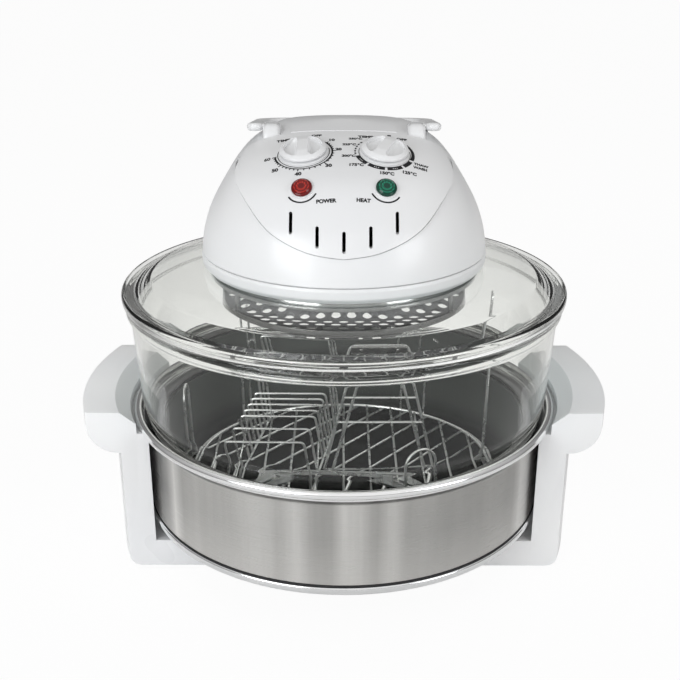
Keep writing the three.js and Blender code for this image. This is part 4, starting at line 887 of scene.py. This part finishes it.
hole_pitch = 0.0115
hole_radius = 0.0039
hole_limit = 0.0885
row_pitch = hole_pitch * math.sqrt(3) / 2
low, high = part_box("guard_plate")
plate = turned([(0, low.z), (0.0933, low.z), (0.0933, high.z), (0, high.z)], 96)
punches = bmesh.new()
for row in range(-9, 10):
    for column in range(-10, 11):
        x = (column + (row % 2) / 2) * hole_pitch
        y = row * row_pitch
        if math.hypot(x, y) < hole_limit:
            bmesh.ops.create_cone(
                punches, cap_ends=True, segments=14, radius1=hole_radius, radius2=hole_radius, depth=0.004,
                matrix=Matrix.Translation((x, y, (low.z + high.z) / 2)),
            )
shown("punched_guard_plate", carved(plate, punches), plate_steel, "lid", "guard_plate")

# A ring of quartz tube with a thin tungsten coil inside. Its two ends turn up into white
# ceramic sockets in the reflector.
quartz = Finish("frosted_quartz", "quartz_glass", IOR=1.46, Transmission_Weight=0.85)
quartz.varied(quartz.noise(80.0), colour(0.9, 0.88, 0.82), colour(0.97, 0.96, 0.93), 0.1, 0.3)
tube_radius = 0.0055
tube_z = 0.2223
tube_rise = 0.0088
half_gap = 17
tube_ring = arc(0, 0, 0.062, 90 + half_gap, 450 - half_gap, 72)
tube_path = [(*tube_ring[0], tube_z + tube_rise), *[(x, y, tube_z) for x, y in tube_ring]]
tube_path.append((*tube_ring[-1], tube_z + tube_rise))
shown("quartz_tube", wire(tube_path, tube_radius), quartz, "lid", "halogen_tube")

ceramic = Finish("white_ceramic", IOR=1.5)
ceramic.varied(ceramic.noise(500.0), colour(0.74, 0.72, 0.66), colour(0.84, 0.82, 0.77), 0.5, 0.7)
for side in ("left", "right"):
    refinished(f"lamp_socket_{side}", ceramic)

# A deep dome moulded in gloss white plastic. It is round at its foot, and leans back and
# narrows towards a blunt crown.
cover_foot = 0.25
cover_height = 0.0927
cover_radius = 0.109
cover_wall = 0.0026
cover_squareness = 0.5
cover_drop = 0.006
cover_shares = [
    (0, 1, 1, 1), (0.14, 0.985, 0.966, 0.98), (0.29, 0.95, 0.917, 0.936), (0.43, 0.9, 0.844, 0.9),
    (0.64, 0.794, 0.688, 0.807), (0.753, 0.725, 0.532, 0.752), (0.839, 0.651, 0.349, 0.697),
    (0.914, 0.541, 0.138, 0.642), (0.968, 0.413, -0.092, 0.55), (1, 0.08, -0.22, 0.35),
]


def dome(grow, drop=0.0):
    """The cover's form, larger all round by grow, with its foot lower by drop."""
    form = bmesh.new()
    turn = form.verts.layers.float.new("turn")
    ring = bmesh.ops.create_circle(form, cap_ends=True, segments=96, radius=1)["verts"]
    for vert in ring:
        vert[turn] = math.atan2(vert.co.y, vert.co.x)
    edges = form.edges[:]
    for level, (height, side, front, rear) in enumerate(eased(cover_shares)):
        if level:
            grown = bmesh.ops.extrude_edge_only(form, edges=edges)["geom"]
            ring = [item for item in grown if isinstance(item, bmesh.types.BMVert)]
            edges = [item for item in grown if isinstance(item, bmesh.types.BMEdge) and item.is_boundary]
        half_side = max(side * cover_radius + grow, 0.0005)
        reach_front = front * cover_radius + grow
        reach_rear = rear * cover_radius + grow
        power = 2 / (2 + cover_squareness * height)
        for vert in ring:
            cos, sin = math.cos(vert[turn]), math.sin(vert[turn])
            vert.co = (
                half_side * math.copysign(abs(cos) ** power, cos),
                (reach_rear - reach_front + (reach_rear + reach_front) * math.copysign(abs(sin) ** power, sin)) / 2,
                cover_foot + height * cover_height + (grow * height if level else -drop),
            )
    bmesh.ops.holes_fill(form, edges=edges)
    return cleaned(form)


def bar(radius, low, high, segments=24):
    """A round bar along Z."""
    return turned([(0, low), (radius, low), (radius, high), (0, high)], segments)


def seat(place, axis):
    """A place on the panel, with its Z axis square to the slope."""
    lean = Vector((0, 0, 1)).rotation_difference(Vector(axis))
    return Matrix.Translation(place) @ lean.to_matrix().to_4x4()


timer_seat = seat((-0.029, -0.0375, 0.329072), (-0.0914, -0.333, 0.93849))
thermostat_seat = seat((0.029, -0.0375, 0.329078), (0.09, -0.33258, 0.93877))
red_seat = seat((-0.029, -0.073, 0.311088), (-0.11633, -0.65649, 0.74531))
green_seat = seat((0.029, -0.073, 0.311091), (0.11633, -0.65326, 0.74815))
dial_seats = (timer_seat, thermostat_seat)
lamp_seats = (red_seat, green_seat)
bush_bore = 0.0053
stem_bore = 0.0049
slot_places = [(-0.0364, 0.2908), (-0.0182, 0.2831), (0, 0.2802), (0.0182, 0.2831), (0.0364, 0.2908)]
slot_width = 0.0024
slot_length = 0.0134


def bored(form):
    """Cuts the bores for the spindles and lamps and the five vent slots."""
    for places, radius in ((dial_seats, bush_bore), (lamp_seats, stem_bore)):
        for place in places:
            form = carved(form, placed(bar(radius, -0.03, 0.01), place))
    for x, z in slot_places:
        low = (x - slot_width / 2, -0.12, z - slot_length / 2)
        high = (x + slot_width / 2, -0.036, z + slot_length / 2)
        form = carved(form, boxed(low, high, slot_width * 0.46, 4))
    return form


foot_gap_inner = cover_radius - 0.0016
foot_gap_outer = cover_radius + 0.006
foot_gap = turned([
    (foot_gap_inner, cover_foot - 0.001), (foot_gap_outer, cover_foot - 0.001),
    (foot_gap_outer, cover_foot + 0.0009), (foot_gap_inner, cover_foot + 0.0009),
], 128)
cover = bored(carved(carved(dome(0), dome(-cover_wall, drop=cover_drop)), foot_gap))
strip_half = 0.0395
blank_strip = carved(dome(0.0004), boxed((-strip_half, 0.0, 0.3), (strip_half, 0.013, 0.36)), "INTERSECT")
cover = carved(cover, carved(blank_strip, dome(-0.001)), "UNION")
plunger_place = Matrix.Translation((0.063, 0.033, 0))
inlet_place = Matrix.Translation((0, 0, cover_foot + 0.022)) @ Matrix.Rotation(-math.pi / 2, 4, "X")
cover = carved(cover, placed(bar(0.0023, 0.25, 0.345), plunger_place))
cover = carved(cover, placed(bar(0.0073, 0.05, 0.12), inlet_place))

# A raised skin of the same plastic lies over the front of the cover. It carries two round dial
# pads and two lamp seats, and its edge is a soft step.
panel_proud = 0.0016
panel_gap = 0.0009
cover_play = 0.0003
dial_pad = 0.0178
lamp_pad = 0.0083
panel_shares = [
    (0, 0.215), (0.23, 0.253), (0.459, 0.36), (0.615, 0.516), (0.725, 0.666), (0.697, 0.79), (0.6, 0.9), (0.5, 1.1),
]
panel_rear = -0.055 * cover_radius
panel_depth = (0, -0.13, 0)
right_edge = eased(panel_shares[:-2], 6) + [Vector(pair) for pair in panel_shares[-2:]]
panel_edge = [(x * cover_radius, cover_foot + up * cover_height) for x, up in right_edge]
panel_edge += [(-x, z) for x, z in reversed(panel_edge[1:])]


def drawn(edge, reach):
    """A flat outline of points in space, drawn out along a direction into a solid."""
    form = bmesh.new()
    face = form.faces.new([form.verts.new(point) for point in edge])
    grown = bmesh.ops.extrude_face_region(form, geom=[face])["geom"]
    bmesh.ops.translate(form, verts=[item for item in grown if isinstance(item, bmesh.types.BMVert)], vec=reach)
    return cleaned(form)


def widened(edge, width):
    """An outline of the panel moved outwards."""
    wider = []
    for i, (x, z) in enumerate(edge):
        along = (Vector(edge[(i + 1) % len(edge)]) - Vector(edge[i - 1])).normalized()
        wider.append((x + along.y * width, z - along.x * width))
    return wider


def fitted(form):
    """Cuts away what would reach into the cover."""
    return carved(form, dome(cover_play, drop=cover_drop))


gap_blank = drawn([(x, panel_rear - 0.001, z) for x, z in widened(panel_edge, panel_gap)], panel_depth)
cover = carved(cover, carved(gap_blank, dome(-panel_gap)))
shown("head_cover_moulding", cover, white_plastic, "lid", "head_cover", crease=30)
panel_blank = drawn([(x, panel_rear, z) for x, z in panel_edge], panel_depth)
panel = fitted(carved(dome(panel_proud), panel_blank, "INTERSECT"))
for places, radius, proud, soft, segments in (
    (dial_seats, dial_pad, 0.0008, 0.0006, 64), (lamp_seats, lamp_pad, 0.0006, 0.0004, 48),
):
    for place in places:
        pad_outline = rounded([(0, -proud, 0), (radius, -proud, 0), (radius, proud, soft), (0, proud, 0)], 3)
        panel = carved(panel, placed(turned(pad_outline, segments), place), "UNION")
panel_skin = BVHTree.FromBMesh(panel)
shown("raised_control_panel", bored(panel), white_plastic, "lid", "control_panel", crease=30)

# Black printing on the panel round each dial and beside each lamp: the minutes, the degrees,
# and plain words for the settings. It is a thin film of ink.
ink = Finish("black_ink", "black_plastic", IOR=1.5, Specular_IOR_Level=0.08)
ink.varied(ink.noise(1500.0), colour(0.012, 0.012, 0.013), colour(0.028, 0.028, 0.03), 0.35, 0.5)
pale_ink = Finish("pale_ink", "white_plastic", IOR=1.5)
pale_ink.varied(pale_ink.noise(1500.0), grey(0.78), grey(0.84), 0.35, 0.5)
ink_film = 0.0001


def laid(form, place, lift=0.00006):
    """Lays a flat form, drawn on a seat's plane, over the panel's skin."""
    normal = (place.to_3x3() @ Vector((0, 0, 1))).normalized()
    for vert in form.verts:
        start = place @ Vector((vert.co.x, vert.co.y, 0.02))
        hit = panel_skin.ray_cast(start, -normal)[0]
        vert.co = (hit or place @ Vector((vert.co.x, vert.co.y, 0))) + normal * (vert.co.z + lift)
    return form


def arc_band(radius, first, last, thick_first, thick_last=None):
    """A flat arc from one angle to another, whose inner edge moves as it thickens."""
    thick_last = thick_first if thick_last is None else thick_last
    steps = max(2, int(abs(last - first) / 3))
    form = turned(
        [(radius - 1e-4, 0), (radius, 0), (radius, ink_film), (radius - 1e-4, ink_film)], steps,
        angle=math.radians(abs(last - first)), start=math.radians(min(first, last)),
    )
    bmesh.ops.holes_fill(form, edges=form.edges)
    for vert in form.verts:
        reach = math.hypot(vert.co.x, vert.co.y)
        if reach < radius - 5e-5:
            at = math.degrees(math.atan2(vert.co.y, vert.co.x))
            share = ((at - first + 180) % 360 - 180) / (last - first)
            inner = radius - thick_first - (thick_last - thick_first) * share
            vert.co.x *= inner / reach
            vert.co.y *= inner / reach
    return cleaned(form)


def tick(angle, inner, outer, width=0.0008):
    form = boxed((inner, -width / 2, 0), (outer, width / 2, ink_film))
    return placed(form, Matrix.Rotation(math.radians(angle), 4, "Z"))


def around(radius, angle, height=0.0):
    return Matrix.Translation((
        radius * math.cos(math.radians(angle)), radius * math.sin(math.radians(angle)), height,
    ))


def lettering(text, height, place, weight=0.06):
    """A word as a thin solid, its middle at a place, its strokes thickened by a share."""
    letters = bpy.data.curves.new("letters", "FONT")
    letters.body = text
    letters.size = height * 1.4
    letters.align_x = "CENTER"
    letters.align_y = "CENTER"
    letters.extrude = ink_film / 2
    letters.offset = height * weight
    form = formed(linked("letters", letters))
    bmesh.ops.triangulate(form, faces=form.faces)
    return cleaned(placed(form, place))


def labels(rows):
    """Words round a dial, each with its angle, its distance and its share of the full height."""
    forms = []
    for word, angle, reach, share in rows:
        weight = 0.035 if "6" in word else 0.06  # a heavier six folds over itself
        forms.append(lettering(word, label_height * share, around(reach, angle, ink_film / 2), weight))
    return forms


dial_ring = 0.0208
label_height = 0.0033
timer_end = -174
timer_start = 86
timer_marks = [
    arc_band(dial_ring, timer_start, timer_end, 0.0008), arc_band(dial_ring + 0.0005, 38, -40, 0.0013),
    arc_band(dial_ring + 0.0005, -150, timer_end, 0.0013), arc_band(dial_ring - 0.0019, 15, -195, 0.0005),
]
minute_angles = [38, 3, -45, -100, -141, timer_end]
for first, last in zip(minute_angles, minute_angles[1:]):
    for step in range(5):
        angle = first + (last - first) * step / 5
        timer_marks.append(tick(angle, dial_ring - 0.0001, dial_ring + (0.0013 if step else 0.0021)))
timer_marks += [
    tick(timer_end, dial_ring - 0.0012, dial_ring + 0.0018),
    tick(timer_start, dial_ring - 0.0012, dial_ring + 0.0018, 0.0007),
    *labels([
        ("10", 40, 0.0262, 1.0), ("20", 6, 0.0252, 0.95), ("30", -46, 0.0256, 1.0), ("40", -98, 0.0258, 1.0),
        ("50", -139, 0.0268, 1.0), ("60", -174, 0.0264, 1.0), ("OFF", 70, 0.0265, 0.9), ("TIME", 126, 0.0258, 1.0),
    ]),
]
shown("timer_scale_print", laid(gathered(timer_marks), timer_seat), ink, "lid")

band_ring = dial_ring + 0.0009
band_width = 0.0029
band_angles = ((-24, -48), (-53, -85), (-90, -125), (-130, -163))
off_mark = boxed((-0.0013, -0.0013, 0), (0.0013, 0.0013, ink_film))
thermostat_marks = [
    arc_band(band_ring, 60, -18, 0.0009, band_width), arc_band(dial_ring - 0.0021, 15, -195, 0.0004),
    *[arc_band(band_ring, first, last, band_width) for first, last in band_angles],
    *[arc_band(band_ring, -170 - i * 9, -175 - i * 9, 0.0011) for i in range(6)],
    placed(off_mark, around(0.0266, 82)),
    *labels([
        ("OFF", 60, 0.0258, 0.95), ("THAW", -20, 0.0278, 0.75), ("WASH", -28, 0.0288, 0.75),
        ("125\u00b0C", -51, 0.0275, 0.88), ("150\u00b0C", -87, 0.0252, 0.88), ("175\u00b0C", -139, 0.0268, 0.88),
        ("200\u00b0C", -166, 0.0264, 0.8), ("225\u00b0C", -201, 0.0272, 0.8), ("250\u00b0C", -222, 0.0282, 0.8),
        ("TEMP", 121, 0.0262, 1.0),
    ]),
]
shown("thermostat_scale_print", laid(gathered(thermostat_marks), thermostat_seat), ink, "lid")

dots = [
    placed(bar(0.00035, 0, ink_film, 12), around(dial_ring - 0.0005, angle + spread))
    for angle in (-69, -107, -146) for spread in (-4, 0, 4)
]
shown("thermostat_scale_dots", laid(gathered(dots), thermostat_seat, 0.0001), pale_ink, "lid")

lamp_marks = []
for word, x, y, place in (("POWER", 0.0162, -0.0118, red_seat), ("HEAT", -0.0152, -0.0112, green_seat)):
    lamp_marks.append(laid(arc_band(0.0114, 208, 332, 0.0011), place))
    lamp_marks.append(laid(lettering(word, 0.0028, Matrix.Translation((x, y, ink_film / 2))), place))
shown("lamp_word_print", gathered(lamp_marks), ink, "lid")

# Two turned knobs of white plastic. Each is a low dome with a scoop on both sides of a grip,
# on a spindle that goes down through the cover into the works.
knob_radius = 0.0168
knob_foot = 0.0011
knob_floor = 0.0022
knob_crown = 0.0068
knob_turn = Matrix.Rotation(math.radians(-22), 4, "Z")
for name, place in (("timer", timer_seat), ("thermostat", thermostat_seat @ knob_turn)):
    knob = turned(rounded([
        (0, knob_foot, 0), (knob_radius - 0.0018, knob_foot, 0.0003),
        (knob_radius - 0.0014, knob_foot + 0.0008, 0.0003),
        (knob_radius, knob_foot + 0.001, 0.0003), (knob_radius, knob_foot + 0.0026, 0.0012),
        (knob_radius * 0.82, 0.0056, 0.003), (knob_radius * 0.45, 0.0067, 0.005), (0, knob_crown, 0),
    ], 5), 96)
    for side in (-1, 1):
        near, far = sorted((side * 0.0038, side * 0.022))
        scoop = boxed((near, -0.0125, knob_floor), (far, 0.0125, 0.03), 0.0034, 6)
        well = bar(knob_radius - 0.0028, 0.0, 0.03, 96)
        knob = carved(knob, carved(well, scoop, "INTERSECT"))
    knob = carved(knob, bar(0.003, knob_foot - 0.02, knob_foot + 0.0012), "UNION")
    shown(f"{name}_turn_knob", placed(knob, place), white_plastic, f"{name}_dial", f"{name}_knob")

# Two pilot lamps with domed lenses of coloured plastic, pressed into the panel. Rings moulded
# in the lens spread their light.
lamp_foot = 0.0009
lamp_radius = 0.0073
stem_radius = 0.0046
for name, place, deep, pale in (
    ("red", red_seat, colour(0.16, 0.004, 0.004), colour(0.62, 0.035, 0.02)),
    ("green", green_seat, colour(0.002, 0.05, 0.03), colour(0.012, 0.3, 0.17)),
):
    lens = Finish(f"{name}_lens", IOR=1.49, Transmission_Weight=0.2, Specular_IOR_Level=0.3)
    offset = lens.stretched((1, 1, 1), tuple(-c for c in place.translation))
    span = offset.length()
    ripple = span.math("SINE", span * 4300.0)
    facet = span.math("SINE", span.math("ARCTAN2", offset.axis("X"), offset.axis("Z")) * 18.0)
    # Painted light: pale rings and radial facets in the lens's colour stand in for light caught in its moulded rings;
    # towards the edge the lens stays the deep colour.
    painted_ring_light = ripple.range(-0.7, 0.7) * facet.range(-0.6, 0.6, 0.35, 1.0) * span.range(0.0061, 0.0066, 1.0, 0.0)
    lens.feed(
        Base_Color=lens.mix(painted_ring_light, deep, pale),
        Roughness=span.range(0.0, 0.007, 0.06, 0.14),
        Normal=lens.bump(ripple, 0.0002, 0.5),
    )
    form = turned(rounded([
        (0, lamp_foot - 0.014, 0), (stem_radius, lamp_foot - 0.014, 0), (stem_radius, lamp_foot, 0),
        (lamp_radius, lamp_foot, 0), (lamp_radius, lamp_foot + 0.0011, 0.0008),
        (0.0052, lamp_foot + 0.0025, 0.0015), (0, lamp_foot + 0.003, 0),
    ], 4), 64)
    shown(f"{name}_pilot_lens", placed(form, place), lens, "lid", f"pilot_lamp_{name}")

# The bail: a flat bow of white plastic whose pins turn in two blocks on the cover. It folds
# down over the back of the head, and its right arm presses the pin of a switch.
pivot = Vector((0, 0.008, 0.3395))
bail_outer = 0.073
bail_arm = 0.012
bail_inner = bail_outer - bail_arm
bail_thick = 0.006
bail_reach = 0.096
bail_corner = 0.03
bail_fold = math.radians(-7)
along_x = Matrix.Rotation(math.pi / 2, 4, "Y")
corner_place = (bail_outer - bail_corner, bail_reach - bail_corner)
right_half = arc(bail_outer - bail_arm / 2, 0, bail_arm / 2, -180, 0, 12) + arc(*corner_place, bail_corner, 0, 90, 14)
inside = arc(*corner_place, bail_corner - bail_arm, 90, 0, 12)
bail_edge = [*right_half, *[(-x, y) for x, y in reversed(inside + right_half)], *inside]
bow = softened(drawn([(x, y, -bail_thick / 2) for x, y in bail_edge], (0, 0, bail_thick)), 0.0026, 5)
for side in (-1, 1):
    low, high = sorted((side * (bail_inner - 0.007), side * (bail_inner + 0.001)))
    bow = carved(bow, placed(bar(0.0022, low, high), along_x), "UNION")
placed(bow, Matrix.Translation(pivot) @ Matrix.Rotation(bail_fold, 4, "X"))
shown("folding_bail", bow, white_plastic, "bail", "bail_handle")

block_half = 0.013
block_edge = [
    (-block_half, -0.022), (block_half, -0.022), (block_half, -0.004), (block_half - 0.006, 0.003),
    (0.006 - block_half, 0.003), (-block_half, -0.004),
]
for name in ("right", "left"):
    low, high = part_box(f"bail_pivot_{name}")
    block = drawn([(low.x, pivot.y + y, pivot.z + z) for y, z in block_edge], (high.x - low.x, 0, 0))
    block = fitted(softened(block, 0.0038, 6, above=30))
    bore = placed(bar(0.0025, low.x - 0.005, high.x + 0.005), Matrix.Translation(pivot) @ along_x)
    shown(f"bail_block_{name}", carved(block, bore), white_plastic, "lid", f"bail_pivot_{name}")

# The safety switch under the right arm of the bail. A black pin stands out of it through the
# cover, and the arm holds it down.
black_plastic = Finish("black_plastic", IOR=1.5)
plastic_grain = black_plastic.noise(600.0)
black_plastic.varied(
    plastic_grain, colour(0.015, 0.015, 0.016), colour(0.035, 0.035, 0.036), 0.35, 0.55,
    Normal=black_plastic.bump(plastic_grain, 0.00004, 0.3),
)
low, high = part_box("switch_plunger")
pin = turned(rounded([(0, low.z, 0), (0.002, low.z, 0.0003), (0.002, high.z, 0.0008), (0, high.z, 0)]), 32)
shown("safety_switch_pin", placed(pin, plunger_place), black_plastic, "plunger", "switch_plunger")
refinished("safety_switch", black_plastic)
refinished("timer_unit", black_plastic)
refinished("thermostat_unit", dull_steel)

# The cord inlet: a rubber bush in the back of the cover, with grip rings round its head and a
# bore for the cord.
low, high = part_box("cord_inlet")
inlet_outline = [(0.0036, low.y), (0.007, low.y), (0.007, high.y - 0.012), (0.0098, high.y - 0.012)]
for i in range(4):
    groove = high.y - 0.0095 + i * 0.0024
    inlet_outline += [(0.01, groove - 0.0006), (0.01, groove), (0.0093, groove + 0.0005), (0.0093, groove + 0.0012)]
inlet_outline += [(0.0085, high.y), (0.0045, high.y), (0.0036, high.y - 0.0008)]
inlet = fitted(placed(turned(inlet_outline, 48), inlet_place))
shown("cord_inlet_bush", inlet, black_rubber, "lid", "cord_inlet")

# The fan motor on its folded stand above the tray: a laminated stator with a copper coil, and
# a shaft that carries a hot-air fan below and a cooling fan above.
laminated_steel = Finish("laminated_steel", Metallic=0.9, IOR=2.5)
sheets = laminated_steel.waves("Z", 320.0)
laminated_steel.feed(
    Base_Color=laminated_steel.mix(sheets, colour(0.12, 0.12, 0.125), colour(0.3, 0.3, 0.31)),
    Roughness=sheets.range(0, 1, 0.35, 0.6),
    Normal=laminated_steel.bump(sheets, 0.0001, 0.5),
)
copper = Finish("enamelled_copper_wire", Metallic=1.0, IOR=2.5)
windings = copper.waves("Y", 400.0)
copper.feed(
    Base_Color=copper.mix(windings, colour(0.3, 0.09, 0.03), colour(0.72, 0.3, 0.13)),
    Roughness=windings.range(0, 1, 0.25, 0.4),
    Normal=copper.bump(windings, 0.0002, 0.6),
)
fan_metal = Finish("fan_aluminium", Metallic=1.0, IOR=2.5)
fan_haze = fan_metal.noise(150.0, stretch=(1, 8, 1))
fan_metal.varied(fan_haze, colour(0.6, 0.61, 0.62), colour(0.78, 0.78, 0.79), 0.3, 0.45)
for node, finish in (
    ("motor_stand", dull_steel), ("motor_stator", laminated_steel), ("motor_coil", copper),
    ("motor_shaft", bright_steel), ("hot_air_fan", fan_metal), ("cooling_fan", white_plastic),
):
    refinished(node, finish)
